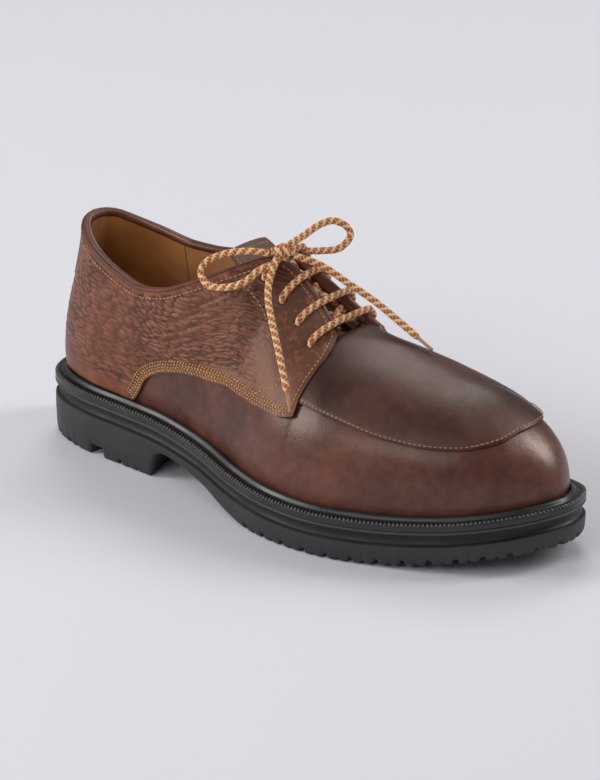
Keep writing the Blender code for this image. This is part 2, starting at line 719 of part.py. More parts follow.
# Lace bars: straight over the facings, from eyelet to eyelet
over = OVERLAY_GAP + OVERLAY + LACE_RADIUS + 0.0005
for k, (u, v) in enumerate(EYELETS):
    route = []
    for side in (-1, 1):
        spot, normal = eyelets[side][k]
        half = [spot + normal * 0.0012, spot + normal * over]
        for share in (0.3, 0.65, 0.96):
            point, normal = surface(side, u, v + (1 - v) * share)
            half.append(point + normal * (over + 0.0003))
        route += half if side < 0 else half[::-1]
    tube("lace_bar_%d" % (k + 1), route, LACE_RADIUS)

# Crossed runs under the facings, from an eyelet to the next one on the other side
under = -WALL - LACE_RADIUS - 0.0006
for k in range(len(EYELETS) - 1):
    runs = []
    for side in (-1, 1):
        route = []
        for here, at in ((side, EYELETS[k][0] - CROSS_STEP), (-side, EYELETS[k + 1][0] + CROSS_STEP)):
            half = []
            for v in (0.885, 0.94, 0.985):
                point, normal = surface(here, at, v)
                half.append(point + normal * under)
            route += half if here == side else half[::-1]
        runs.append(tube("lace_cross_%d" % (k + 1) if side < 0 else "lace_run_%d" % (k + 1),
                         route, LACE_RADIUS))
    join = runs[0].modifiers.new("crossing", "BOOLEAN")
    join.operation = "UNION"
    join.solver = "EXACT"
    join.object = runs[1]
    runs[1].hide_render = True
    runs[1].display_type = "WIRE"

# Bow: the knot, its two loops and the two ends
BOW = {
    "lace_knot": [(0.1400, -0.0115, 0.1195), (0.1420, -0.0090, 0.1210), (0.1435, -0.0060, 0.1200),
                  (0.1455, -0.0040, 0.1185)],
    "lace_loop_lateral": [(0.1388, -0.0124, 0.1197), (0.1310, -0.0180, 0.1204), (0.1210, -0.0230, 0.1181),
                          (0.1147, -0.0290, 0.1142), (0.1147, -0.0330, 0.1103), (0.1210, -0.0350, 0.1060),
                          (0.1319, -0.0330, 0.1070), (0.1387, -0.0285, 0.1103), (0.1405, -0.0220, 0.1140)],
    "lace_loop_medial": [(0.1430, -0.0037, 0.1223), (0.1420, 0.0080, 0.1236), (0.1430, 0.0190, 0.1266),
                         (0.1451, 0.0260, 0.1269), (0.1496, 0.0300, 0.1238), (0.1518, 0.0300, 0.1200),
                         (0.1513, 0.0230, 0.1157), (0.1484, 0.0130, 0.1163), (0.1470, 0.0060, 0.1178)],
    "lace_end_lateral": [(0.1431, -0.0117, 0.1183), (0.1463, -0.0205, 0.1111), (0.1521, -0.0280, 0.1045),
                         (0.1602, -0.0345, 0.0977), (0.1727, -0.0435, 0.0871), (0.1851, -0.0515, 0.0714),
                         (0.1881, -0.0535, 0.0657)],
    "lace_end_medial": [(0.1461, -0.0034, 0.1180), (0.1555, 0.0050, 0.1130), (0.1672, 0.0110, 0.1052),
                        (0.1806, 0.0150, 0.0981), (0.1990, 0.0170, 0.0885), (0.2135, 0.0165, 0.0825)],
}
CORD_STEP = 0.008
for name, route in BOW.items():
    fine = smooth_curve(route, 16, False)
    run = np.concatenate([[0], np.cumsum(np.linalg.norm(np.diff(fine, axis=0), axis=1))])
    count = max(6, int(round(run[-1] / CORD_STEP)) + 1)
    line = bpy.data.curves.new(name, "CURVE")
    line.dimensions = "3D"
    line.bevel_depth = LACE_RADIUS
    line.bevel_resolution = 2
    line.use_fill_caps = True
    spline = line.splines.new("POLY")
    spline.points.add(count - 1)
    for point, at in zip(spline.points, np.linspace(0, run[-1], count)):
        spot = [np.interp(at, run, fine[:, k]) for k in range(3)] - MIDDLE
        point.co = (*spot, 1.0)
    line.materials.append(look("lace"))
    cord = bpy.data.objects.new(name, line)
    bpy.context.collection.objects.link(cord)
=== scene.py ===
import bpy
import numpy as np
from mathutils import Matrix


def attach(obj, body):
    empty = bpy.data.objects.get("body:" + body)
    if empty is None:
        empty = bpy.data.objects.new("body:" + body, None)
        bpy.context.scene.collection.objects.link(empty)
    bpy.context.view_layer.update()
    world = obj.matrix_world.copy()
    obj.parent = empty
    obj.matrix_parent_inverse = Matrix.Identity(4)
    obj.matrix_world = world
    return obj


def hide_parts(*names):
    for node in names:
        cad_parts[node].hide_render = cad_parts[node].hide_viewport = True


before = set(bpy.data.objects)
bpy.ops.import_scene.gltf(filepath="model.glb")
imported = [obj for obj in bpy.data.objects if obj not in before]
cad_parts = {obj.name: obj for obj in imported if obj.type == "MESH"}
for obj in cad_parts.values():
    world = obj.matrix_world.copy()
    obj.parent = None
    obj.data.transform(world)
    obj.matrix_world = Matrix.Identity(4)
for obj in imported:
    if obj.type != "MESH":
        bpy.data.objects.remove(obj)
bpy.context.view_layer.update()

# Outsole
# One moulded rubber unit with a heel, a smooth waist and a forefoot that rises at the toe. Short
# channels cut its lower edge into lugs, bars run across the tread, and it is glued to the midsole.
LENGTH = 0.300
GAP = 0.0003
WELT_THICK = 0.0037
MIDSOLE_THICK = 0.0066
SOLE_PLAN = [
    # x from the heel, reach to the outer side, reach to the inner side
    (0.005, 0.0178, 0.0178),
    (0.016, 0.0275, 0.0275),
    (0.036, 0.0340, 0.0340),
    (0.062, 0.0360, 0.0355),
    (0.092, 0.0380, 0.0345),
    (0.120, 0.0430, 0.0335),
    (0.147, 0.0515, 0.0370),
    (0.176, 0.0575, 0.0440),
    (0.204, 0.0570, 0.0490),
    (0.231, 0.0490, 0.0510),
    (0.255, 0.0385, 0.0495),
    (0.276, 0.0255, 0.0440),
    (0.292, 0.0085, 0.0335),
]
TOE_TIP = (LENGTH, 0.0135)
WELT_TOP = [
    # x, z of the welt's top
    (0.000, 0.0320),
    (0.040, 0.0316),
    (0.080, 0.0308),
    (0.108, 0.0284),
    (0.137, 0.0248),
    (0.166, 0.0222),
    (0.196, 0.0215),
    (0.225, 0.0219),
    (0.257, 0.0243),
    (0.300, 0.0315),
]
UNDERSIDE = [
    # x, z of the heel, breast, waist, tread and toe spring
    (0.000, 0.0012),
    (0.006, 0.0000),
    (0.0835, 0.0000),
    (0.0885, 0.0125),
    (0.094, 0.0142),
    (0.106, 0.0128),
    (0.126, 0.0085),
    (0.146, 0.0032),
    (0.160, 0.0004),
    (0.168, 0.0000),
    (0.215, 0.0000),
    (0.236, 0.0012),
    (0.260, 0.0042),
    (0.280, 0.0078),
    (0.300, 0.0118),
]
BREAST_HOLLOW = 0.009
BREAST_FADE = (0.055, 0.070, 0.105, 0.135)    # x where the hollow starts, is full, thins and ends
HEEL_HALF_WIDTH = 0.036
HEEL_NOTCH_X = (0.0425, 0.0520)
HEEL_NOTCH_DEPTH = 0.0048
LUG_PITCH = 0.0125
LUG_CHANNEL = 0.0028
LUG_DEPTH = 0.0022
NICK_WIDTH = 0.0018
NICK_DEPTH = 0.0012
LUG_ZONES = [(-0.001, 0.036), (0.058, 0.075), (0.158, 0.301)]
TREAD_ZONES = [(0.014, 0.037), (0.057, 0.072), (0.168, 0.284)]
TREAD_PITCH = 0.0120
TREAD_GROOVE = 0.0030
TREAD_DEPTH = 0.0020
TREAD_SLANT = 0.45
TREAD_MIDDLE = 0.004
TREAD_COLUMNS = 49
EDGE_GROOVE = 0.0016
OUTSOLE_TOP_INSET = 0.0016
OUTSOLE_TOP_ROUND = 0.0006
OUTSOLE_WALL = [
    # inset from the edge, share of the way down
    (0.0002, 0.00),
    (0.0001, 0.06),
    (0.0001, 0.30),
    (0.0003, 0.60),
    (0.0005, 0.82),
    (0.0010, 0.94),
    (0.0018, 0.985),
    (0.0026, 1.00),
]
OUTSOLE_FLOOR = [
    # inset, share of the lug channels, share of the groove inside them
    (0.0045, 1.0, 0.0),
    (0.0075, 1.0, 0.0),
    (0.0102, 1.0, 0.0),
    (0.0112, 0.0, 0.0),
    (0.0120, 0.0, 0.0),
    (0.0128, 0.0, 1.0),
    (0.0138, 0.0, 1.0),
    (0.0146, 0.0, 0.0),
]
HALF_STEPS = 480
PLAN_STEPS = 24
FLAT_COLUMNS = 9
MERGE_DISTANCE = 0.000002
POLE_SIDES = 16
CHARCOAL = (0.030, 0.030, 0.031, 1.0)
CHARCOAL_DUST = (0.075, 0.074, 0.072, 1.0)


def curve_of(rows, column, at):
    """One column of a table as a smooth curve of the table's first column, with no overshoot."""
    table = np.asarray(rows, float)
    xs = table[:, 0]
    ys = table[:, column]
    at = np.asarray(at, float)
    step = np.diff(xs)
    slope = np.diff(ys) / step
    lean = np.zeros(len(xs))
    lean[0] = slope[0]
    lean[-1] = slope[-1]
    for k in range(1, len(xs) - 1):
        if slope[k - 1] * slope[k] > 0:
            before = 2 * step[k] + step[k - 1]
            after = step[k] + 2 * step[k - 1]
            lean[k] = (before + after) / (before / slope[k - 1] + after / slope[k])
    i = np.clip(np.searchsorted(xs, at, side="right") - 1, 0, len(step) - 1)
    t = np.clip((at - xs[i]) / step[i], 0, 1)
    start = (1 + 2 * t) * (1 - t) ** 2 * ys[i] + t * (1 - t) ** 2 * step[i] * lean[i]
    end = t * t * (3 - 2 * t) * ys[i + 1] + t * t * (t - 1) * step[i] * lean[i + 1]
    return start + end


def smooth_curve(points, per, closed):
    """Centripetal Catmull-Rom curve through the points, with a number of steps between two."""
    p = np.asarray(points, float)
    if closed:
        p = np.vstack([p[-1:], p, p[:2]])
    else:
        p = np.vstack([2 * p[:1] - p[1:2], p, 2 * p[-1:] - p[-2:-1]])
    out = []
    for k in range(1, len(p) - 2):
        p0, p1, p2, p3 = p[k - 1:k + 3]
        t1 = np.linalg.norm(p1 - p0) ** 0.5
        t2 = t1 + np.linalg.norm(p2 - p1) ** 0.5
        t3 = t2 + np.linalg.norm(p3 - p2) ** 0.5
        for t in np.linspace(t1, t2, per, endpoint=False):
            a1 = (t1 - t) / t1 * p0 + t / t1 * p1
            a2 = (t2 - t) / (t2 - t1) * p1 + (t - t1) / (t2 - t1) * p2
            a3 = (t3 - t) / (t3 - t2) * p2 + (t - t2) / (t3 - t2) * p3
            b1 = (t2 - t) / t2 * a1 + t / t2 * a2
            b2 = (t3 - t) / (t3 - t1) * a2 + (t - t1) / (t3 - t1) * a3
            out.append((t2 - t) / (t2 - t1) * b1 + (t - t1) / (t2 - t1) * b2)
    if not closed:
        out.append(p[-2])
    return np.array(out)


def walked(line):
    """How far along a line each of its points is."""
    return np.cumsum(np.linalg.norm(np.diff(line, axis=0, prepend=line[:1]), axis=1))


def sample(at, run, line):
    """A line's values at the given places, run being the place of each of its points."""
    return np.stack([np.interp(at, run, line[:, k]) for k in range(line.shape[1])], -1)


def even(line, count):
    """A line resampled to evenly spaced points."""
    line = np.asarray(line, float)
    run = walked(line)
    return sample(np.linspace(0.0, run[-1], count), run, line)


def unit(lines):
    """Directions of length one."""
    return lines / np.linalg.norm(lines, axis=-1, keepdims=True)


def ramp(value, low, high):
    """A soft step from 0 at low to 1 at high."""
    t = np.clip((value - low) / (high - low), 0, 1)
    return t * t * (3 - 2 * t)


lateral_rows = [(x, -lateral) for x, lateral, medial in SOLE_PLAN]
medial_rows = [(x, medial) for x, lateral, medial in reversed(SOLE_PLAN)]
plan = smooth_curve([(0.0, 0.0)] + lateral_rows + [TOE_TIP] + medial_rows, PLAN_STEPS, True)
toe = (len(SOLE_PLAN) + 1) * PLAN_STEPS
ORIGIN = np.array([LENGTH / 2, (plan[:, 1].max() + plan[:, 1].min()) / 2, 0.0])
lateral_edge = even(plan[:toe + 1], HALF_STEPS + 1)
medial_edge = even(np.vstack([plan[toe:], plan[:1]]), HALF_STEPS + 1)
EDGE = np.vstack([lateral_edge[:-1], medial_edge])
around = unit(np.roll(EDGE[:-1], -1, 0) - np.roll(EDGE[:-1], 1, 0))
around = np.vstack([around, around[:1]])
EDGE_OUT = np.stack([around[:, 1], -around[:, 0]], 1)
EDGE_RUN = walked(EDGE)


def edge_at(inset):
    """The sole's closed edge in plan, moved in."""
    return EDGE - EDGE_OUT * inset


def welt_top(x):
    """Height of the welt's top face along the foot."""
    return curve_of(WELT_TOP, 1, x)


def below_welt(inset, depth):
    """A closed ring round the sole, so far in and so far under the welt's top."""
    ring = edge_at(inset)
    return np.column_stack([ring, welt_top(ring[:, 0]) - depth])


def underside(x, y):
    """Height of the outsole's underside, with the heel's front hollowed in plan and its notch."""
    hollow = BREAST_HOLLOW * np.clip(1 - (y / HEEL_HALF_WIDTH) ** 2, 0, 1)
    fade = np.interp(x, BREAST_FADE, (0, 1, 1, 0))
    z = curve_of(UNDERSIDE, 1, x + hollow * fade)
    soft = 0.0004
    notch = ramp(x, HEEL_NOTCH_X[0] - soft, HEEL_NOTCH_X[0] + soft)
    notch = notch * ramp(x, HEEL_NOTCH_X[1] + soft, HEEL_NOTCH_X[1] - soft)
    return z + (HEEL_NOTCH_DEPTH - z) * notch


def inside_zones(x, zones):
    """One within the zones along the foot, with soft ends, and nought elsewhere."""
    soft = 0.0006
    return sum(ramp(x, low - soft, low + soft) * ramp(x, high + soft, high - soft) for low, high in zones)


def lug_cut(x):
    """How deep the channels between the lugs are along the edge, with a small nick in each lug."""
    count = int(EDGE_RUN[-1] / LUG_PITCH)
    pitch = EDGE_RUN[-1] / count
    beat = EDGE_RUN / pitch % 1.0
    soft = 0.0004
    channel = ramp(np.abs(beat - 0.5) * pitch, LUG_CHANNEL / 2 + soft, LUG_CHANNEL / 2 - soft)
    nick = ramp(np.minimum(beat, 1 - beat) * pitch, NICK_WIDTH / 2 + soft, NICK_WIDTH / 2 - soft)
    return (LUG_DEPTH * channel + NICK_DEPTH * nick) * inside_zones(x, LUG_ZONES)


def tread_cut(x, y):
    """How deep the grooves between the bars of the tread are."""
    beat = (x + TREAD_SLANT * np.abs(y - TREAD_MIDDLE)) / TREAD_PITCH % 1.0
    soft = 0.0005
    groove = ramp(np.abs(beat - 0.5) * TREAD_PITCH, TREAD_GROOVE / 2 + soft, TREAD_GROOVE / 2 - soft)
    return TREAD_DEPTH * groove * inside_zones(x, TREAD_ZONES)


def span(ring, columns):
    """Rows straight across the foot between the two sides of a closed ring."""
    lateral = ring[:HALF_STEPS + 1, None]
    medial = ring[HALF_STEPS:][::-1][:, None]
    return lateral + (medial - lateral) * np.linspace(0, 1, columns)[None, :, None]


def lay_grid(name, spots, finishes, row_finish=None):
    """A grid primitive with a vertex at each spot, in metres from the back of the heel.

    The spots are an array of rows, columns and three coordinates.
    """
    rows, columns = spots.shape[:2]
    bpy.ops.object.select_all(action="DESELECT")
    bpy.ops.mesh.primitive_grid_add(x_subdivisions=columns - 1, y_subdivisions=rows - 1, size=1.0)
    sheet = bpy.context.object
    sheet.name = name
    sheet.data.name = name
    sheet.data.vertices.foreach_set("co", (spots - ORIGIN).reshape(-1).astype(np.float32))
    for finish in finishes:
        sheet.data.materials.append(finish)
    if row_finish is not None:
        sheet.data.polygons.foreach_set("material_index", np.repeat(row_finish, columns - 1).astype(np.int32))
    sheet.data.update()
    bpy.ops.object.shade_smooth()
    return sheet


def pick(*pieces):
    """Select these objects alone, with the first one active."""
    bpy.ops.object.select_all(action="DESELECT")
    for piece in pieces:
        piece.select_set(True)
    bpy.context.view_layer.objects.active = pieces[0]


def join(pieces):
    """Several objects as one, under the first one's name."""
    pick(*pieces)
    bpy.ops.object.join()
    return pieces[0]


def close_up(piece, outward=True):
    """Merge the doubles of a piece, and turn the faces of a closed one outwards."""
    pick(piece)
    bpy.ops.object.mode_set(mode="EDIT")
    bpy.ops.mesh.select_all(action="SELECT")
    bpy.ops.mesh.remove_doubles(threshold=MERGE_DISTANCE)
    if outward:
        bpy.ops.mesh.fill_holes(sides=POLE_SIDES)
        bpy.ops.mesh.normals_make_consistent(inside=False)
    bpy.ops.object.mode_set(mode="OBJECT")
    return piece


def sharpen(piece, degrees):
    """Smooth shading with hard edges where the faces turn by more than an angle."""
    pick(piece)
    bpy.ops.object.shade_smooth_by_angle(angle=np.radians(degrees))


def seat(piece, slot, *nodes):
    """The piece rides on the shoe and stands for the given nodes, which are hidden; the slot is not used."""
    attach(piece, "root")
    if nodes:
        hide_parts(*nodes)


def add_node(tree, kind, inputs=None, **settings):
    """A shader node with its settings, each input being a value or another node's output."""
    node = tree.nodes.new(kind)
    for name, value in settings.items():
        setattr(node, name, value)
    for key, value in (inputs or {}).items():
        if isinstance(value, bpy.types.NodeSocket):
            tree.links.new(value, node.inputs[key])
        else:
            node.inputs[key].default_value = value
    return node


def mix(tree, share, first, second, blend="MIX"):
    """Two colours mixed by a share, which may change over the surface."""
    inputs = {0: share, 6: first, 7: second}
    return add_node(tree, "ShaderNodeMix", inputs, data_type="RGBA", blend_type=blend).outputs[2]


def math(tree, operation, first, second=0.0):
    """One sum on values that change over the surface."""
    return add_node(tree, "ShaderNodeMath", {0: first, 1: second}, operation=operation).outputs[0]


def fit(tree, value, low, high, to_low=0.0, to_high=1.0):
    """A value moved from one range to another with a soft start and end."""
    inputs = {"Value": value, "From Min": low, "From Max": high, "To Min": to_low, "To Max": to_high}
    return add_node(tree, "ShaderNodeMapRange", inputs, interpolation_type="SMOOTHSTEP").outputs[0]


def noise(tree, where, scale, detail=3.0):
    """Soft random patches over the surface, from 0 to 1."""
    inputs = {"Vector": where, "Scale": scale, "Detail": detail}
    return add_node(tree, "ShaderNodeTexNoise", inputs).outputs[0]


def object_place(tree):
    """Where a point of the piece is, in metres."""
    return add_node(tree, "ShaderNodeTexCoord").outputs["Object"]


def new_group(name, inputs, outputs):
    """A shader node group with named sockets, its input node's outputs and its output node."""
    group = bpy.data.node_groups.new(name, "ShaderNodeTree")
    for socket, kind in inputs:
        group.interface.new_socket(socket, in_out="INPUT", socket_type=kind)
    for socket, kind in outputs:
        group.interface.new_socket(socket, in_out="OUTPUT", socket_type=kind)
    return group, group.nodes.new("NodeGroupInput").outputs, group.nodes.new("NodeGroupOutput")


def new_finish(name, **sockets):
    """A material with its Principled shader, the plain values being set on its own sockets."""
    material = bpy.data.materials.new(name)
    material.use_nodes = True
    shader = material.node_tree.nodes["Principled BSDF"]
    for socket, value in sockets.items():
        shader.inputs[socket.replace("_", " ")].default_value = value
    return material, material.node_tree, shader


def wire(tree, node, **sources):
    """Feed a node's inputs from other nodes' outputs; an input's name has _ for a space."""
    for socket, source in sources.items():
        tree.links.new(source, node.inputs[socket.replace("_", " ")])


def bump(tree, shader, height, distance):
    """Raise the surface by a height from 0 to 1 times a distance."""
    node = add_node(tree, "ShaderNodeBump", {"Height": height, "Distance": distance, "Strength": 1.0})
    wire(tree, shader, Normal=node.outputs["Normal"])


# Moulded rubber: a fine speckle, faint cloudy dust and an uneven sheen
COLOUR = "NodeSocketColor"
VALUE = "NodeSocketFloat"
rubber, given, put = new_group("moulded_rubber", [("Base", COLOUR), ("Dust", COLOUR)],
                               [("Color", COLOUR), ("Roughness", VALUE), ("Height", VALUE)])
where = object_place(rubber)
speckle = noise(rubber, where, 2600.0, 2.0)
cloud = noise(rubber, where, 55.0, 4.0)
dust = math(rubber, "MULTIPLY", fit(rubber, cloud, 0.45, 0.75), fit(rubber, speckle, 0.35, 0.7))
tinted = mix(rubber, math(rubber, "MULTIPLY", dust, 0.55), given["Base"], given["Dust"])
wire(rubber, put, Color=tinted, Roughness=fit(rubber, cloud, 0.2, 0.8, 0.48, 0.66), Height=speckle)


def rubber_finish(name, base, dust_colour, grip=0.00006):
    """Moulded rubber of one colour, with its nodes."""
    material, tree, shader = new_finish(name)
    made = add_node(tree, "ShaderNodeGroup", {"Base": base, "Dust": dust_colour}, node_tree=rubber)
    wire(tree, shader, Base_Color=made.outputs["Color"], Roughness=made.outputs["Roughness"])
    bump(tree, shader, made.outputs["Height"], grip)
    return material, tree, shader, made


outsole_finish = rubber_finish("outsole_rubber", CHARCOAL, CHARCOAL_DUST)[0]
outsole_depth = WELT_THICK + MIDSOLE_THICK + 2 * GAP
rings = [below_welt(OUTSOLE_TOP_INSET, outsole_depth)]
wall_top = welt_top(EDGE[:, 0]) - outsole_depth - OUTSOLE_TOP_ROUND
foot_edge = edge_at(OUTSOLE_WALL[-1][0])
wall_foot = underside(foot_edge[:, 0], foot_edge[:, 1]) + lug_cut(foot_edge[:, 0])
for inset, share in OUTSOLE_WALL:
    rings.append(np.column_stack([edge_at(inset), wall_top + (wall_foot - wall_top) * share]))
for inset, lugs, groove in OUTSOLE_FLOOR:
    ring = edge_at(inset)
    depth = lugs * lug_cut(ring[:, 0]) + groove * EDGE_GROOVE * inside_zones(ring[:, 0], TREAD_ZONES)
    rings.append(np.column_stack([ring, underside(ring[:, 0], ring[:, 1]) + depth]))
tread = span(rings[-1], TREAD_COLUMNS)
centre = tread[:, 1:-1]
centre[..., 2] = underside(centre[..., 0], centre[..., 1]) + tread_cut(centre[..., 0], centre[..., 1])
outsole = join([lay_grid("outsole_moulded", np.array(rings), [outsole_finish]),
                lay_grid("outsole_tread", tread, [outsole_finish]),
                lay_grid("outsole_top", span(rings[0], FLAT_COLUMNS), [outsole_finish])])
close_up(outsole)
sharpen(outsole, 40)
seat(outsole, "outsole_rubber", "outsole")

# Midsole
# A rubber layer between outsole and welt. Its lip is flush with the welt's edge, and the band under
# the lip is set back and darker, so that it reads as a shadow line all round the shoe.
MIDSOLE_PROFILE = [
    # inset, depth under the midsole's top, finish: 0 lip, 1 band
    (0.0007, 0.0000, 0),
    (0.0002, 0.0002, 0),
    (0.0000, 0.0006, 0),
    (0.0000, 0.0011, 0),
    (0.0003, 0.0015, 0),
    (0.0012, 0.0017, 1),
    (0.0024, 0.0020, 1),
    (0.0026, 0.0034, 1),
    (0.0024, 0.0058, 1),
    (0.0016, 0.0066, 1),
]
LIP_GREY = (0.045, 0.045, 0.046, 1.0)
LIP_DUST = (0.110, 0.110, 0.108, 1.0)
BAND_BLACK = (0.005, 0.005, 0.005, 1.0)
BAND_DUST = (0.010, 0.010, 0.010, 1.0)

lip_finish = rubber_finish("midsole_lip", LIP_GREY, LIP_DUST)[0]
band_finish = rubber_finish("midsole_band", BAND_BLACK, BAND_DUST)[0]
rings = [below_welt(inset, WELT_THICK + GAP + depth) for inset, depth, finish in MIDSOLE_PROFILE]
row_finish = [finish for inset, depth, finish in MIDSOLE_PROFILE[:-1]]
midsole = join([lay_grid("midsole_layer", np.array(rings), [lip_finish, band_finish], row_finish),
                lay_grid("midsole_top", span(rings[0], FLAT_COLUMNS), [lip_finish]),
                lay_grid("midsole_foot", span(rings[-1], FLAT_COLUMNS), [band_finish])])
close_up(midsole)
sharpen(midsole, 50)
seat(midsole, "midsole_rubber", "midsole")

# Welt
# A black rubber strip round the upper with a glossy bead against the leather, a smooth channel and
# a row of wheeled ribs. The ribs' ends show as pale dashes on the outer top edge: painted highlight where
# they catch the light.
WELT_PROFILE = [
    # inset, height over the welt's top, share of the ribs' height, share of the pale dashes of painted
    # highlight
    (0.0000, -0.0037, 0.0, 0.00),
    (0.0000, -0.0022, 0.0, 0.00),
    (0.0000, -0.0011, 0.0, 0.00),
    (0.0002, -0.0005, 0.6, 0.26),
    (0.0006, -0.0001, 1.0, 1.00),
    (0.0012, 0.0000, 1.0, 0.20),
    (0.0020, 0.0000, 1.0, 0.00),
    (0.0028, 0.0000, 0.9, 0.00),
    (0.0032, -0.0004, 0.2, 0.00),
    (0.0037, -0.0005, 0.0, 0.00),
    (0.0043, -0.0003, 0.0, 0.00),
    (0.0047, 0.0003, 0.0, 0.00),
    (0.0051, 0.0011, 0.0, 0.00),
    (0.0056, 0.0016, 0.0, 0.00),
    (0.0062, 0.0018, 0.0, 0.00),
    (0.0067, 0.0015, 0.0, 0.00),
    (0.0070, 0.0009, 0.0, 0.00),
    (0.0079, -0.0037, 0.0, 0.00),
]
RIB_PITCH = 0.0020
RIB_DEPTH = 0.0007
RIB_SLANT = 0.35
WELT_STEPS = 2200
WELT_BLACK = (0.018, 0.018, 0.019, 1.0)
WELT_DUST = (0.070, 0.070, 0.068, 1.0)
DASH_HIGHLIGHT = (0.240, 0.238, 0.226, 1.0)


def set_values(piece, name, values):
    """Keep one number for each vertex of a piece, for its material to read."""
    piece.data.attributes.new(name, "FLOAT", "POINT").data.foreach_set("value", np.ravel(values))


def vertex_value(tree, name):
    """The number that a piece keeps for each vertex under a name."""
    return add_node(tree, "ShaderNodeAttribute", attribute_name=name).outputs["Fac"]


welt_finish, tree, shader, made = rubber_finish("welt_rubber", WELT_BLACK, WELT_DUST, 0.00004)
# Painted highlight: pale grey dashes on the rib ends, patchy along the welt
highlight_patches = fit(tree, noise(tree, object_place(tree), 160.0), 0.25, 0.6, 0.35, 1.0)
rib_end_highlight = math(tree, "MULTIPLY", vertex_value(tree, "rib_end"), highlight_patches)
wire(tree, shader, Base_Color=mix(tree, rib_end_highlight, made.outputs["Color"], DASH_HIGHLIGHT),
     Roughness=fit(tree, made.outputs["Roughness"], 0.45, 0.7, 0.26, 0.44))
welt_ring = even(EDGE, WELT_STEPS + 1)
welt_out = unit(sample(np.linspace(0, EDGE_RUN[-1], WELT_STEPS + 1), EDGE_RUN, EDGE_OUT))
welt_run = walked(welt_ring)
rib_pitch = welt_run[-1] / int(welt_run[-1] / RIB_PITCH)
rings = []
rib_ends = []
for inset, height, ribbed, pale in WELT_PROFILE + WELT_PROFILE[:1]:
    ring = welt_ring - welt_out * inset
    from_valley = np.abs((welt_run + RIB_SLANT * inset) / rib_pitch % 1.0 - 0.5)
    valley = ramp(from_valley, 0.28, 0.16)
    rings.append(np.column_stack([ring, welt_top(ring[:, 0]) + height - ribbed * RIB_DEPTH * valley]))
    rib_ends.append(pale * ramp(from_valley, 0.26, 0.36))
welt = lay_grid("welt_strip", np.array(rings), [welt_finish])
set_values(welt, "rib_end", rib_ends)
close_up(welt)
sharpen(welt, 60)
seat(welt, "welt_rubber", "welt")

# Insole
# The lasting board with its leather sock glued on top, which fills the shoe's floor from wall to wall
# and dips a little along the middle of the foot.
FEATHER_INSET = 0.0085
WALL = 0.0020
INSOLE_THICK = 0.0028
SOCK_GAP = 0.0008
SOCK_ROUND = 0.0004
SOCK_BULGE = 0.0003
SOCK_DIP = 0.0012
SOCK_COLUMNS = 41
SOCK_TAN = (0.330, 0.170, 0.060, 1.0)
SOCK_DEEP = (0.200, 0.095, 0.032, 1.0)

sock_finish, tree, shader = new_finish("sock_leather", Specular_IOR_Level=0.25)
where = object_place(tree)
patch = noise(tree, where, 45.0, 5.0)
wire(tree, shader, Base_Color=mix(tree, fit(tree, patch, 0.3, 0.7), SOCK_TAN, SOCK_DEEP),
     Roughness=fit(tree, patch, 0.2, 0.8, 0.62, 0.80))
bump(tree, shader, noise(tree, where, 1500.0, 3.0), 0.00012)
sock_inset = FEATHER_INSET + WALL + SOCK_GAP
sock_foot = below_welt(sock_inset, WELT_THICK)
sock_rim = below_welt(sock_inset - SOCK_BULGE, WELT_THICK - INSOLE_THICK + SOCK_ROUND)
sock_edge = below_welt(sock_inset, WELT_THICK - INSOLE_THICK)
sock = span(sock_edge, SOCK_COLUMNS)
middle = np.sin(np.linspace(0, np.pi, SOCK_COLUMNS))[None, :]
sock[..., 2] -= SOCK_DIP * middle * ramp(sock[..., 0], 0.01, 0.05)
insole = join([lay_grid("insole_sock", np.array([sock_foot, sock_rim, sock_edge]), [sock_finish]),
               lay_grid("sock_top", sock, [sock_finish]),
               lay_grid("sock_foot", span(sock_foot, FLAT_COLUMNS), [sock_finish])])
close_up(insole)
sharpen(insole, 50)
seat(insole, "insole_leather", "insole")

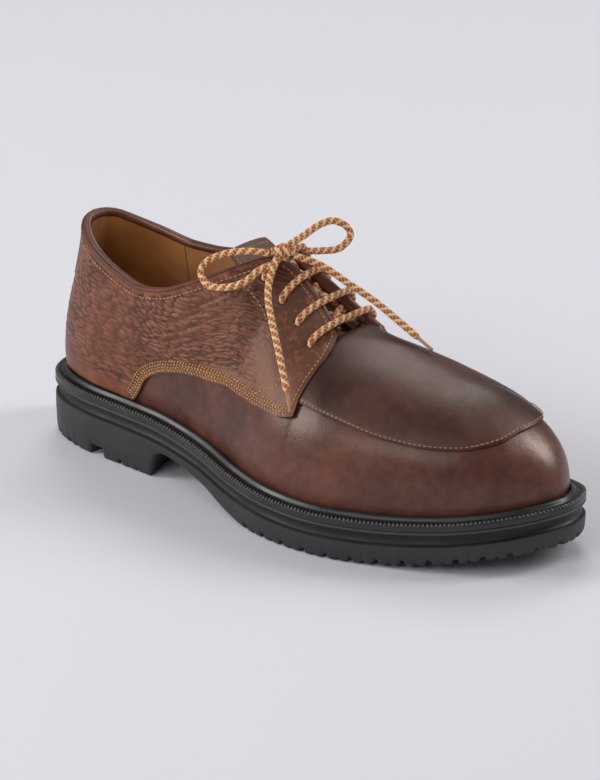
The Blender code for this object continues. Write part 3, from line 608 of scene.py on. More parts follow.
# Upper
# The vamp and its backing: one lasted wall of smooth waxed leather with a tan suede lining. It is
# drawn over the last and held between insole and welt, and stays open at the collar and throat.
UPPER = [
    # u from heel to toe, the top edge's x, its y on the outer and inner side, its z on the two sides,
    # the straight rise from the sole, belly, shoulder, the straight drop under the top
    (0.000, 0.0160, 0.0000, 0.0000, 0.1090, 0.1090, 0.030, 0.002, 0.00, 0.030),
    (0.020, 0.0164, -0.0043, 0.0043, 0.1085, 0.1087, 0.030, 0.002, 0.00, 0.030),
    (0.050, 0.0193, -0.0101, 0.0101, 0.1068, 0.1076, 0.030, 0.002, 0.00, 0.030),
    (0.100, 0.0284, -0.0172, 0.0172, 0.1025, 0.1034, 0.029, 0.003, 0.00, 0.028),
    (0.150, 0.0420, -0.0226, 0.0222, 0.0980, 0.0992, 0.027, 0.004, 0.00, 0.026),
    (0.200, 0.0570, -0.0255, 0.0240, 0.0938, 0.0965, 0.025, 0.004, 0.00, 0.024),
    (0.250, 0.0710, -0.0275, 0.0230, 0.0916, 0.0975, 0.024, 0.004, 0.00, 0.024),
    (0.300, 0.0850, -0.0283, 0.0205, 0.0938, 0.1002, 0.024, 0.005, 0.05, 0.024),
    (0.350, 0.1010, -0.0260, 0.0170, 0.1002, 0.1044, 0.025, 0.006, 0.25, 0.023),
    (0.400, 0.1200, -0.0180, 0.0120, 0.1095, 0.1102, 0.027, 0.005, 0.42, 0.018),
    (0.440, 0.1360, -0.0065, 0.0065, 0.1155, 0.1150, 0.029, 0.002, 0.50, 0.011),
    (0.480, 0.1470, -0.0005, 0.0080, 0.1080, 0.1080, 0.031, 0.000, 0.51, 0.008),
    (0.520, 0.1595, -0.0010, 0.0135, 0.0975, 0.0972, 0.033, 0.000, 0.58, 0.006),
    (0.560, 0.1720, -0.0020, 0.0178, 0.0870, 0.0872, 0.035, 0.000, 0.64, 0.005),
    (0.575, 0.1775, 0.0020, 0.0160, 0.0858, 0.0856, 0.036, 0.000, 0.64, 0.004),
    (0.585, 0.1815, 0.0080, 0.0080, 0.0858, 0.0858, 0.037, 0.000, 0.64, 0.003),
    (0.650, 0.1930, 0.0090, 0.0090, 0.0840, 0.0840, 0.039, 0.000, 0.66, 0.003),
    (0.750, 0.2120, 0.0095, 0.0095, 0.0804, 0.0804, 0.040, 0.000, 0.72, 0.004),
    (0.850, 0.2280, 0.0100, 0.0100, 0.0768, 0.0768, 0.036, 0.000, 0.74, 0.005),
    (0.930, 0.2380, 0.0105, 0.0105, 0.0744, 0.0744, 0.029, 0.000, 0.66, 0.005),
    (1.000, 0.2430, 0.0110, 0.0110, 0.0732, 0.0732, 0.024, 0.000, 0.55, 0.004),
]
THROAT_FRONT_U = 0.585
FLARE = 0.20
EYELETS = [
    # u, v, from the lowest
    (0.555, 0.814),
    (0.524, 0.818),
    (0.488, 0.812),
    (0.449, 0.842),
]
EYELET_RADIUS = 0.0021
PUNCH_LENGTH = 0.012
VAMP_CREASES = [
    # side, u, v, half length in u, half width in v, depth: soft folds where the foot bends
    (-1, 0.650, 0.300, 0.060, 0.070, 0.0003),
    (1, 0.650, 0.330, 0.060, 0.070, 0.0003),
]
WAX_TINT = (1.0, 0.80, 0.67, 1.0)
VAMP_BROWN = (0.132, 0.046, 0.031, 1.0)
VAMP_DEEP = (0.076, 0.026, 0.018, 1.0)
VAMP_RED = (0.195, 0.062, 0.036, 1.0)
LINING_GOLD = (0.520, 0.215, 0.045, 1.0)
LINING_DEEP = (0.330, 0.118, 0.024, 1.0)
LINING_DARK = (0.150, 0.055, 0.014, 1.0)
LINING_SEAM_X = 0.0534


def feather_line(side):
    """Where one side of the upper meets the sole: points, directions out and shares of the way."""
    part = slice(0, HALF_STEPS + 1) if side < 0 else slice(HALF_STEPS, None)
    points = edge_at(FEATHER_INSET)[part]
    outs = EDGE_OUT[part]
    if side > 0:
        points = points[::-1]
        outs = outs[::-1]
    share = walked(points)
    return points, outs, share / share[-1]


FEATHER = {side: feather_line(side) for side in (-1, 1)}


def last_point(side, u, v):
    """Points of the upper's outer face: u runs from heel to toe, v from the sole to the top."""
    u, v = np.broadcast_arrays(np.asarray(u, float), np.asarray(v, float))
    top_x, y_lat, y_med, z_lat, z_med, low_up, belly, shoulder, high_down = [
        curve_of(UPPER, k, u) for k in range(1, 10)]
    points, outs, share = FEATHER[side]
    base = sample(u, share, points)
    flat = unit(sample(u, share, outs))
    lateral = (side < 0) | (u >= THROAT_FRONT_U)
    start = np.concatenate([base, (welt_top(base[..., 0]) - WELT_THICK)[..., None]], -1)
    top = np.stack([top_x, np.where(lateral, y_lat, y_med), np.where(lateral, z_lat, z_med)], -1)
    out = np.concatenate([flat, np.zeros(flat.shape[:-1] + (1,))], -1)
    up = np.array([0.0, 0.0, 1.0])
    low = start + (out * FLARE + up) * low_up[..., None]
    reach = np.maximum(((start - top) * out).sum(-1), 0.0)
    high = top + out * (belly + shoulder * reach)[..., None] - up * high_down[..., None]
    v = v[..., None]
    w = 1 - v
    return w ** 3 * start + 3 * w * w * v * low + 3 * w * v * v * high + v ** 3 * top


def last_face(side, u, v):
    """Points of the upper's outer face and the directions out of it."""
    u, v = np.broadcast_arrays(np.asarray(u, float), np.asarray(v, float))
    step = 0.002
    along = last_point(side, np.minimum(u + step, 1.0), v) - last_point(side, np.maximum(u - step, 0.0), v)
    rise = last_point(side, u, np.minimum(v + step, 1.0)) - last_point(side, u, np.maximum(v - step, 0.0))
    normal = np.cross(along, rise) * -side
    size = np.linalg.norm(normal, axis=-1)
    flat = size < 0.25 * np.linalg.norm(along, axis=-1) * np.linalg.norm(rise, axis=-1)
    normal = normal / np.maximum(size, 1e-12)[..., None]
    if flat.any():
        normal[flat] = last_face(side, u[flat], v[flat] - 10 * step)[1]
    return last_point(side, u, v), normal


def on_last(side, u, v, out=0.0):
    """Points so far out from the upper's outer face."""
    point, normal = last_face(side, u, v)
    return point + normal * np.asarray(out, float)[..., None]


def creases(rows, side, u, v):
    """How far the leather sinks at the folds of a table."""
    sink = np.zeros(np.broadcast(u, v).shape)
    for on_side, at_u, at_v, long, wide, depth in rows:
        if on_side == side:
            sink += depth * np.exp(-((u - at_u) / long) ** 2 - ((v - at_v) / wide) ** 2)
    return sink


def change(piece, kind, **settings):
    """Add a modifier to a piece and apply it."""
    pick(piece)
    modifier = piece.modifiers.new(kind.lower(), kind)
    for name, value in settings.items():
        setattr(modifier, name, value)
    bpy.ops.object.modifier_apply(modifier=modifier.name)


def punch_holes(piece, sides):
    """Cut the eyelet holes of the given sides through a piece."""
    pins = []
    for side in sides:
        for u, v in EYELETS:
            spot, normal = last_face(side, u, v)
            bpy.ops.object.select_all(action="DESELECT")
            bpy.ops.mesh.primitive_cylinder_add(vertices=24, radius=EYELET_RADIUS, depth=PUNCH_LENGTH)
            pin = bpy.context.object
            pin.data.materials.append(piece.data.materials[1])
            pin.rotation_mode = "QUATERNION"
            tilt = np.arccos(normal[2])
            axis = unit(np.cross((0.0, 0.0, 1.0), normal))
            pin.rotation_quaternion = (np.cos(tilt / 2), *(axis * np.sin(tilt / 2)))
            pin.location = spot - ORIGIN
            pins.append(pin)
    cutter = join(pins)
    change(piece, "BOOLEAN", operation="DIFFERENCE", solver="MANIFOLD", object=cutter)
    bpy.data.objects.remove(cutter, do_unlink=True)


def grey(tree, value):
    """A value as a colour without hue."""
    return add_node(tree, "ShaderNodeCombineColor", {0: value, 1: value, 2: value}).outputs[0]


# Waxed leather: cloudy depth of colour, red where it is rubbed, pores and a fine uneven surface
leather, given, put = new_group(
    "waxed_leather",
    [("Base", COLOUR), ("Deep", COLOUR), ("Rub", COLOUR), ("Rub Share", VALUE), ("Pore Scale", VALUE)],
    [("Color", COLOUR), ("Cloud", VALUE), ("Height", VALUE)])
where = object_place(leather)
cloud = noise(leather, where, 26.0, 5.0)
fine = noise(leather, where, 210.0, 4.0)
stain = mix(leather, fit(leather, cloud, 0.34, 0.66), given["Deep"], given["Base"])
rubs = fit(leather, noise(leather, where, 60.0, 6.0), 0.46, 0.72)
stain = mix(leather, math(leather, "MULTIPLY", rubs, given["Rub Share"]), stain, given["Rub"])
mottle = grey(leather, fit(leather, fine, 0.3, 0.7, 0.84, 1.16))
cells = add_node(leather, "ShaderNodeTexVoronoi", {"Vector": where, "Scale": given["Pore Scale"]},
                 feature="SMOOTH_F1").outputs["Distance"]
height = math(leather, "ADD", math(leather, "MULTIPLY", cells, 0.6), math(leather, "MULTIPLY", fine, 0.6))
wire(leather, put, Color=mix(leather, 1.0, stain, mottle, "MULTIPLY"), Cloud=cloud, Height=height)


def leather_finish(name, base, deep, rub, rub_share, pores, rough, grain, **sockets):
    """Waxed leather of one colour: rough is the range of its roughness, grain the depth of its pores."""
    material, tree, shader = new_finish(name, Specular_Tint=WAX_TINT, **sockets)
    values = {"Base": base, "Deep": deep, "Rub": rub, "Rub Share": rub_share, "Pore Scale": pores}
    made = add_node(tree, "ShaderNodeGroup", values, node_tree=leather)
    wire(tree, shader, Base_Color=made.outputs["Color"],
         Roughness=fit(tree, made.outputs["Cloud"], 0.3, 0.7, *rough))
    bump(tree, shader, made.outputs["Height"], grain)
    return material, tree, shader, made


vamp_finish = leather_finish("vamp_leather", VAMP_BROWN, VAMP_DEEP, VAMP_RED, 0.30, 1400.0, (0.31, 0.37),
                             0.00010, Coat_Weight=0.12, Coat_Roughness=0.30)[0]
lining_finish, tree, shader = new_finish("suede_lining", Roughness=0.92, Specular_IOR_Level=0.15,
                                         Sheen_Weight=0.35, Sheen_Roughness=0.5)
where = object_place(tree)
patch = noise(tree, where, 38.0, 5.0)
suede = mix(tree, fit(tree, patch, 0.3, 0.7), LINING_GOLD, LINING_DEEP)
along = add_node(tree, "ShaderNodeSeparateXYZ", {0: where}).outputs[0]
from_seam = math(tree, "ABSOLUTE", math(tree, "SUBTRACT", along, LINING_SEAM_X - LENGTH / 2))
seam = fit(tree, from_seam, 0.0001, 0.0006)
wire(tree, shader, Base_Color=mix(tree, seam, LINING_DARK, suede))
bump(tree, shader, math(tree, "ADD", noise(tree, where, 2200.0, 3.0), seam), 0.00020)
upper_u = np.concatenate([np.linspace(0.0, 0.43, 90), np.linspace(0.434, 0.60, 60)[1:],
                          np.linspace(0.604, 1.0, 110)])
upper_v = np.concatenate([np.linspace(0.0, 0.94, 52), np.linspace(0.952, 1.0, 6)])[:, None]
halves = []
for side in (-1, 1):
    sink = creases(VAMP_CREASES, side, upper_u[None, :], upper_v)
    halves.append(on_last(side, upper_u[None, :], upper_v, -sink))
wall = np.concatenate([halves[0], halves[1][:, ::-1][:, 1:]], 1)
upper = lay_grid("upper_wall", wall, [vamp_finish, lining_finish])
close_up(upper, outward=False)
change(upper, "SOLIDIFY", thickness=WALL, offset=-1.0, material_offset=1, material_offset_rim=0,
       use_quality_normals=True)
punch_holes(upper, (-1, 1))
sharpen(upper, 50)
seat(upper, "vamp_leather", "upper")

# Quarters
# The two grained leather sides, from the back seam to the facings that carry the lace. Their cut
# edges show, and they are sewn down over the vamp with four close rows and along the facings with one.
QUARTER_LOW = [
    # u, v
    (0.000, 0.090),
    (0.226, 0.090),
    (0.239, 0.150),
    (0.261, 0.298),
    (0.285, 0.372),
    (0.314, 0.420),
    (0.345, 0.430),
    (0.372, 0.416),
    (0.400, 0.389),
    (0.430, 0.366),
    (0.465, 0.357),
    (0.505, 0.368),
    (0.547, 0.397),
    (0.584, 0.414),
]
QUARTER_TOP = [
    # u, v: under the collar's binding, along the facing, round its front corner
    (0.000, 0.974),
    (0.432, 0.974),
    (0.450, 0.990),
    (0.552, 0.990),
    (0.563, 0.967),
    (0.571, 0.922),
    (0.578, 0.845),
    (0.584, 0.720),
]
QUARTER_U = (0.0008, 0.584)
OVERLAY_GAP = 0.00056
OVERLAY = 0.0013
PEBBLE = (0.0082, 0.0021)     # length and width of the grain's cells
PEBBLE_HEIGHT = 0.00060
FOLD = (0.0150, 0.0052)       # length and width of the broader folds
FOLD_HEIGHT = 0.00035
SWIRL_SIZE = 0.010
SWIRL_REACH = (0.006, 0.0022) # how far a swirl moves the cells along and across
PATCH_SIZE = 0.028            # size of the patches in which the grain is stronger or weaker
WRINKLE_AT = (0.0, 0.085, 0.130, 0.155, 0.200)          # places along the side
WRINKLE_LEAN = (0.0, -0.014, -0.023, -0.022, -0.008)    # how far a wrinkle has risen there
QUARTER_CREASES = [
    # side, u, v, half length in u, half width in v, depth
    (-1, 0.330, 0.760, 0.060, 0.018, 0.0007),
    (-1, 0.350, 0.690, 0.070, 0.016, 0.0006),
    (-1, 0.300, 0.640, 0.060, 0.018, 0.0006),
    (-1, 0.385, 0.600, 0.050, 0.016, 0.0005),
    (-1, 0.400, 0.800, 0.030, 0.014, 0.0005),
    (1, 0.330, 0.740, 0.060, 0.018, 0.0006),
    (1, 0.360, 0.660, 0.060, 0.018, 0.0006),
]
QUARTER_BROWN = (0.262, 0.085, 0.046, 1.0)
QUARTER_DEEP = (0.165, 0.050, 0.027, 1.0)
QUARTER_RUST = (0.300, 0.112, 0.042, 1.0)
# Painted shade: the darkest brown, for the quarters' grain valleys and for the apron beside the quarters
PAINTED_SHADE = (0.034, 0.012, 0.008, 1.0)
CUT_EDGE = (0.175, 0.062, 0.042, 1.0)
CUT_EDGE_DARK = (0.085, 0.030, 0.022, 1.0)
FACING_BROWN = (0.110, 0.044, 0.027, 1.0)
THREAD_GOLD = (0.680, 0.430, 0.200, 1.0)
THREAD_SHADE = (0.420, 0.225, 0.095, 1.0)
STAY_ROW = [
    # u, v: from the collar round the eyelets and back to the arch
    (0.420, 0.820),
    (0.450, 0.735),
    (0.482, 0.690),
    (0.530, 0.638),
    (0.547, 0.550),
    (0.531, 0.475),
    (0.502, 0.400),
]
FRONT_LIFT = 0.0008           # how much its front stands up where it lies over the apron
ARCH_ROWS = (0.0011, 0.0025, 0.0039, 0.0053)
ARCH_PITCH = 0.0020
ARCH_STITCH = (0.0018, 0.00066, 0.0007)     # length, width and height
ARCH_SLANT = 38.0
EDGE_ROW = 0.0023
EDGE_PITCH = 0.0024
EDGE_STITCH = (0.0018, 0.00055, 0.0005)
COLLAR_ROW = 0.0050


def quarter_out(u, v):
    """How far the quarter's face is out from the upper's."""
    return OVERLAY_GAP + OVERLAY + FRONT_LIFT * ramp(u, 0.552, 0.576) * ramp(v, 0.44, 0.52)


def pebbles(along, across, size, seed):
    """Grained leather: how far inside a rounded cell each place is, nought being on its edge."""
    p = along / size[0]
    q = across / size[1]
    table = np.random.default_rng(seed).random((64, 64, 2))
    near = np.full(p.shape, 9.0)
    second = np.full(p.shape, 9.0)
    for dp in (-1, 0, 1):
        for dq in (-1, 0, 1):
            cell_p = np.floor(p).astype(int) + dp
            cell_q = np.floor(q).astype(int) + dq
            shift = table[cell_p % 64, cell_q % 64]
            far = np.hypot(cell_p + shift[..., 0] - p, cell_q + shift[..., 1] - q)
            second = np.minimum(second, np.maximum(near, far))
            near = np.minimum(near, far)
    return second - near


def swells(along, across, size, seed):
    """Slow random swells from 0 to 1."""
    p = along / size
    q = across / size
    table = np.random.default_rng(seed).random((64, 64))
    i = np.floor(p).astype(int)
    j = np.floor(q).astype(int)
    s = ramp(p - i, 0.0, 1.0)
    t = ramp(q - j, 0.0, 1.0)
    low = table[i % 64, j % 64] * (1 - s) + table[(i + 1) % 64, j % 64] * s
    high = table[i % 64, (j + 1) % 64] * (1 - s) + table[(i + 1) % 64, (j + 1) % 64] * s
    return low * (1 - t) + high * t


def flat_places(spots):
    """Distances along the rows and across them, which lay a curved grid out nearly flat."""
    along = np.cumsum(np.linalg.norm(np.diff(spots, axis=1, prepend=spots[:, :1]), axis=2), axis=1)
    across = np.cumsum(np.linalg.norm(np.diff(spots, axis=0, prepend=spots[:1]), axis=2), axis=0)
    return along, across


def beside(side, u, v, reach):
    """A line of places moved sideways on the leather, to the left of its run seen from outside."""
    point, normal = last_face(side, u, v)
    line = unit(np.gradient(point, axis=0))
    target = point + np.cross(normal, line) * reach
    step = 0.001
    for turn in range(6):
        miss = target - last_point(side, u, v)
        du = (last_point(side, u + step, v) - last_point(side, u - step, v)) / (2 * step)
        dv = (last_point(side, u, v + step) - last_point(side, u, v - step)) / (2 * step)
        uu = (du * du).sum(1)
        vv = (dv * dv).sum(1)
        uv = (du * dv).sum(1)
        miss_u = (du * miss).sum(1)
        miss_v = (dv * miss).sum(1)
        area = uu * vv - uv * uv
        u = np.clip(u + (vv * miss_u - uv * miss_v) / area, 0.0, 1.0)
        v = np.clip(v + (uu * miss_v - uv * miss_u) / area, 0.0, 1.0)
    return u, v


def stitch_line(side, u, v, pitch, lift=0.0001):
    """Evenly spaced spots of a row of stitches, the row's directions and the ways out of the leather."""
    fine = on_last(side, u, v, quarter_out(u, v) + lift)
    run = walked(fine)
    at = np.arange(pitch / 2, run[-1], pitch)
    spots = sample(at, run, fine)
    ups = unit(sample(at, run, last_face(side, u, v)[1]))
    return spots, unit(np.gradient(spots, axis=0)), ups


def sew(name, lines, size, finish, slant=0.0):
    """Rows of stitches as one mesh: a stitch is modelled once and copied to every spot.

    A line gives spots, directions and ways out; size is a stitch's length, width and height. With
    a slant in degrees, one row leans to the left and the next to the right.
    """
    bpy.ops.object.select_all(action="DESELECT")
    bpy.ops.mesh.primitive_uv_sphere_add(segments=8, ring_count=5, radius=0.5)
    model = bpy.context.object
    shape = np.array([vertex.co for vertex in model.data.vertices])
    shape[:, :2] = np.sign(shape[:, :2]) * np.abs(2 * shape[:, :2]) ** 0.75 / 2
    faces = [list(face.vertices) for face in model.data.polygons]
    bpy.data.objects.remove(model, do_unlink=True)
    shape = shape * size
    points = []
    quads = []
    for number, (spots, runs, ups) in enumerate(lines):
        turn = np.radians(slant) * (1 if number % 2 else -1)
        left = np.cross(ups, runs)
        ahead = runs * np.cos(turn) + left * np.sin(turn)
        left = np.cross(ups, ahead)
        for spot, a, b, c in zip(spots, ahead, left, ups):
            first = len(points) * len(shape)
            points.append(spot + shape[:, :1] * a + shape[:, 1:2] * b + shape[:, 2:] * c)
            quads += [[first + k for k in face] for face in faces]
    mesh = bpy.data.meshes.new(name)
    mesh.from_pydata((np.concatenate(points) - ORIGIN).tolist(), [], quads)
    mesh.materials.append(finish)
    mesh.shade_smooth()
    rows = bpy.data.objects.new(name, mesh)
    bpy.context.collection.objects.link(rows)
    return rows


quarter_finish, tree, shader, made = leather_finish(
    "quarter_leather", QUARTER_BROWN, QUARTER_DEEP, QUARTER_RUST, 0.35, 1100.0, (0.41, 0.49), 0.00014)
rust = vertex_value(tree, "rust")
patchy = fit(tree, noise(tree, object_place(tree), 330.0, 4.0), 0.52, 0.68)
plain = mix(tree, rust, made.outputs["Color"], FACING_BROWN)
rusty = mix(tree, math(tree, "MULTIPLY", rust, patchy), plain, QUARTER_RUST)
# Painted shade: the quarter's colour darkens in the grain's valleys, by the value each vertex keeps under
# "grain"
wire(tree, shader, Base_Color=mix(tree, vertex_value(tree, "grain"), PAINTED_SHADE, rusty))
edge_finish = leather_finish("cut_leather_edge", CUT_EDGE, CUT_EDGE_DARK, CUT_EDGE, 0.2, 2600.0,
                             (0.55, 0.70), 0.00012)[0]
thread_finish, tree, shader = new_finish("waxed_thread", Roughness=0.62, Specular_IOR_Level=0.35)
strand = fit(tree, noise(tree, object_place(tree), 900.0, 2.0), 0.35, 0.65)
wire(tree, shader, Base_Color=mix(tree, strand, THREAD_SHADE, THREAD_GOLD))
quarter_u = np.concatenate([np.linspace(QUARTER_U[0], 0.540, 262)[:-1], np.linspace(0.540, QUARTER_U[1], 46)])
quarter_t = np.linspace(0.0, 1.0, 128)[:, None]
low = curve_of(QUARTER_LOW, 1, quarter_u)[None, :]
high = curve_of(QUARTER_TOP, 1, quarter_u)[None, :]
v = low + (high - low) * quarter_t
u = np.broadcast_to(quarter_u[None, :], v.shape)
hem = QUARTER_LOW[0][1]
under_arch = hem + (low - hem) * np.linspace(0, 1, 12)[:, None]
arch_u = np.concatenate([np.linspace(0.2262, 0.262, 60), np.linspace(0.263, 0.5835, 200)])
arch_v = curve_of(QUARTER_LOW, 1, arch_u)
corner_u = np.linspace(0.5838, 0.452, 200)
front_u = np.concatenate([np.full(60, QUARTER_U[1]), corner_u])
front_v = np.concatenate([np.linspace(0.43, 0.720, 60), curve_of(QUARTER_TOP, 1, corner_u)])
collar_u = np.linspace(0.022, 0.438, 260)
stay = smooth_curve(STAY_ROW, 30, False)
for side, name in ((-1, "lateral"), (1, "medial")):
    along, across = flat_places(last_point(side, u, v))
    across = across + flat_places(last_point(side, quarter_u[None, :], under_arch))[1][-1]
    swirl = swells(along, across, SWIRL_SIZE, 3) - 0.5
    lean = np.interp(along, WRINKLE_AT, WRINKLE_LEAN)
    p = along + SWIRL_REACH[0] * swirl
    q = across - lean * (0.35 + 0.65 * ramp(v, 0.35, 0.80)) + SWIRL_REACH[1] * swirl
    inside = pebbles(p, q, PEBBLE, 11 + side)
    cells = ramp(inside, -0.05, 0.70)
    fold = ramp(pebbles(p + 0.3, q, FOLD, 21 + side), -0.05, 0.75)
    # The grain fades out at the hem, the collar, the facing and the arch, and comes and goes
    grained = ramp(v, 0.07, 0.24) * ramp(u, 0.520, 0.440) * ramp(v, 0.985, 0.93) * ramp(quarter_t, 0.06, 0.14)
    grained = grained * (0.60 + 0.40 * ramp(swells(along, across, PATCH_SIZE, 5), 0.2, 0.6))
    grained = grained * (0.85 + 0.15 * ramp(u, 0.02, 0.16))
    relief = grained * (0.35 + 0.65 * ramp(u, 0.05, 0.22))
    sink = relief * (PEBBLE_HEIGHT * (1 - cells) + FOLD_HEIGHT * (1 - fold))
    sink = sink + creases(QUARTER_CREASES, side, u, v)
    # The inner side's columns are taken from the front, so that its faces point outwards too
    columns = slice(None, None, -side)
    spots = on_last(side, u, v, quarter_out(u, v) - sink)[:, columns]
    quarter = lay_grid("quarter_" + name + "_leather", spots, [quarter_finish, edge_finish])
    # Painted shade: the "grain" value falls from 1 towards the edges of the grain's cells, where the colour
    # darkens
    valley_shading = 1 - 0.95 * grained * ramp(inside, 0.40, 0.02)
    rub_and_shade = 0.8 * ramp(u, 0.43, 0.50) * ramp(v, 0.45, 0.72)
    set_values(quarter, "grain", valley_shading[:, columns])
    set_values(quarter, "rust", rub_and_shade[:, columns])
    change(quarter, "SOLIDIFY", thickness=OVERLAY, offset=-1.0, material_offset_rim=1)
    punch_holes(quarter, (side,))
    sharpen(quarter, 45)
    seat(quarter, "quarter_leather", "quarter_" + name)
    lines = []
    for reach in ARCH_ROWS:
        line_u, line_v = beside(side, arch_u, arch_v, reach * -side)
        lines.append(stitch_line(side, line_u[2:-4], line_v[2:-4], ARCH_PITCH))
    rows = sew("arch_stitches_" + name, lines, ARCH_STITCH, thread_finish, ARCH_SLANT)
    seat(rows, "quarter_leather")
    front = beside(side, front_u, front_v, EDGE_ROW * -side)
    collar = beside(side, collar_u, np.full(260, 0.999), COLLAR_ROW * side)
    lines = [stitch_line(side, *places, EDGE_PITCH) for places in (front, collar, stay.T)]
    rows = sew("facing_stitches_" + name, lines, EDGE_STITCH, thread_finish)
    seat(rows, "quarter_leather")

# Collar binding
# A smooth leather strip folded over the top edge of quarters and lining, from one facing round the
# heel to the other, and sewn through just below.
BINDING_PROFILE = [
    # v, out from the upper's outer face
    (0.968, 0.0016),
    (0.970, 0.0020),
    (0.976, 0.0023),
    (0.988, 0.0021),
    (0.998, 0.0014),
    (1.003, 0.0004),
    (1.003, -0.0006),
    (0.999, -0.0016),
    (0.990, -0.0023),
    (0.977, -0.0025),
    (0.966, -0.0025),
    (0.963, -0.0021),
]
BINDING_U = 0.440
BINDING_BROWN = (0.125, 0.037, 0.022, 1.0)
BINDING_DEEP = (0.075, 0.026, 0.018, 1.0)

binding_finish = leather_finish("binding_leather", BINDING_BROWN, BINDING_DEEP, VAMP_RED, 0.4, 1900.0,
                                (0.42, 0.52), 0.00008)[0]


def swept_edge(side, u, profile):
    """A closed strip round the top edge of the upper, its ends drawn in to points."""
    ones = np.ones(len(u))
    top, normal = last_face(side, u, ones)
    rise = unit(top - last_point(side, u, 0.97 * ones))
    tall = np.linalg.norm(top - last_point(side, u, 0.90 * ones), axis=1) / 0.10
    rows = []
    for v, out in profile + profile[:1]:
        if v <= 1.0:
            foot, face = last_face(side, u, v * ones)
            rows.append(foot + face * out)
        else:
            rows.append(top + rise * ((v - 1.0) * tall)[:, None] + normal * out)
    rows = np.array(rows)
    ends = [np.broadcast_to(rows[:-1, k].mean(0), rows[:, k].shape) for k in (0, -1)]
    return np.concatenate([ends[0][:, None], rows, ends[1][:, None]], 1)


binding_u = np.linspace(0.0, BINDING_U, 170)
halves = [swept_edge(side, binding_u, BINDING_PROFILE) for side in (-1, 1)]
rim = np.concatenate([halves[0][:, ::-1][:, :-1], halves[1][:, 2:]], 1)
binding = lay_grid("collar_binding", rim, [binding_finish])
close_up(binding)
seat(binding, "vamp_leather")

# Facing edges
# The throat's edges, where the leather of quarter and lining is turned in together and sewn, so that
# it ends in one thick rounded roll. On the inner side the roll goes on round the front corner.
FACING_PROFILE = [
    # v, out from the upper's outer face
    (0.984, 0.0016),
    (0.987, 0.0022),
    (0.995, 0.0025),
    (1.006, 0.0022),
    (1.014, 0.0012),
    (1.017, -0.0002),
    (1.014, -0.0016),
    (1.006, -0.0026),
    (0.995, -0.0029),
    (0.986, -0.0026),
]
FACING_RED = (0.175, 0.060, 0.042, 1.0)
FACING_U = (0.447, 0.562)
CORNER_ROLL = [
    # u, v of the inner quarter's rolled front corner
    (0.530, 0.998),
    (0.548, 0.994),
    (0.558, 0.981),
    (0.566, 0.952),
    (0.573, 0.905),
    (0.579, 0.840),
    (0.584, 0.740),
]
CORNER_RADIUS = 0.0016
CORNER_OUT = 0.0010

facing_finish = leather_finish("facing_edge_leather", FACING_RED, BINDING_BROWN, VAMP_RED, 0.4, 1900.0,
                               (0.36, 0.46), 0.00008)[0]


def tube(line, radius, sides):
    """Rings round a line, closed to a point at both ends; each ring and side may have its own radius."""
    ahead = unit(np.gradient(line, axis=0))
    across = np.cross(ahead[0], (0.31, 0.17, 0.93))
    turn = np.linspace(0.0, 2 * np.pi, sides + 1)
    reach = np.broadcast_to(radius, (len(line), sides + 1))
    rings = [np.broadcast_to(line[0], (sides + 1, 3))]
    for spot, go, far in zip(line, ahead, reach):
        across = unit(across - go * across.dot(go))
        other = np.cross(go, across)
        rings.append(spot + np.outer(np.cos(turn) * far, across) + np.outer(np.sin(turn) * far, other))
    rings.append(np.broadcast_to(line[-1], (sides + 1, 3)))
    return np.array(rings)


for side, name in ((-1, "lateral"), (1, "medial")):
    facing_u = np.linspace(*FACING_U, 90)
    strip = swept_edge(side, facing_u, FACING_PROFILE)
    facing = close_up(lay_grid("facing_edge_" + name, strip, [facing_finish]))
    if side > 0:
        corner = smooth_curve(CORNER_ROLL, 16, False)
        line = even(on_last(side, corner[:, 0], corner[:, 1], CORNER_OUT), 80)
        roll = lay_grid("corner_roll", tube(line, CORNER_RADIUS, 16), [facing_finish])
        facing = join([facing, close_up(roll)])
    seat(facing, "quarter_leather")

# Apron
# The top piece of the vamp, a smooth waxed panel laid over its walls. Its edge is cut, a little
# raised, and sewn down with one row all the way round the toe. Its back end goes down into the throat.
APRON_SEAM = [
    # u, v on the outer side, v on the inner side
    (0.586, 0.482, 0.482),
    (0.654, 0.456, 0.464),
    (0.722, 0.420, 0.445),
    (0.796, 0.402, 0.435),
    (0.860, 0.420, 0.462),
    (0.905, 0.460, 0.506),
    (0.955, 0.524, 0.548),
    (0.985, 0.563, 0.569),
    (1.000, 0.576, 0.576),
]
APRON_BACK_U = 0.552
APRON_FRONT_U = 0.587         # where it comes out from under the quarters
APRON_DIVE = [
    # u, how far it has sunk into the throat, where it turns into the tongue
    (0.552, 0.0080),
    (0.560, 0.0052),
    (0.566, 0.0030),
    (0.572, 0.0012),
    (0.580, 0.0003),
    (0.590, 0.0000),
    (1.000, 0.0000),
]
APRON_CREASES = [
    # side, u, v, half length in u, half width in v, depth
    (-1, 0.640, 0.800, 0.040, 0.120, 0.0003),
    (1, 0.640, 0.800, 0.040, 0.120, 0.0003),
]
APRON_BROWN = (0.078, 0.023, 0.015, 1.0)
APRON_DEEP = (0.044, 0.015, 0.011, 1.0)
APRON_RED = (0.125, 0.048, 0.036, 1.0)
APRON_TUCK = 0.0015           # how far its lower corners sink under the quarters
APRON_EDGE_ROUND = 0.0005
APRON_ROW = 0.0012
APRON_STITCH = (0.0020, 0.0007, 0.0006)
APRON_THREAD = (0.400, 0.205, 0.090, 1.0)
CREST_COLUMNS = 26            # columns each side of the crest that are rounded over, and how often
CREST_TURNS = 60
APRON_SHADOW_AND_WAX = 0.75             # how dark it is beside the quarters: painted shadow of the facings and laces, with darker wax
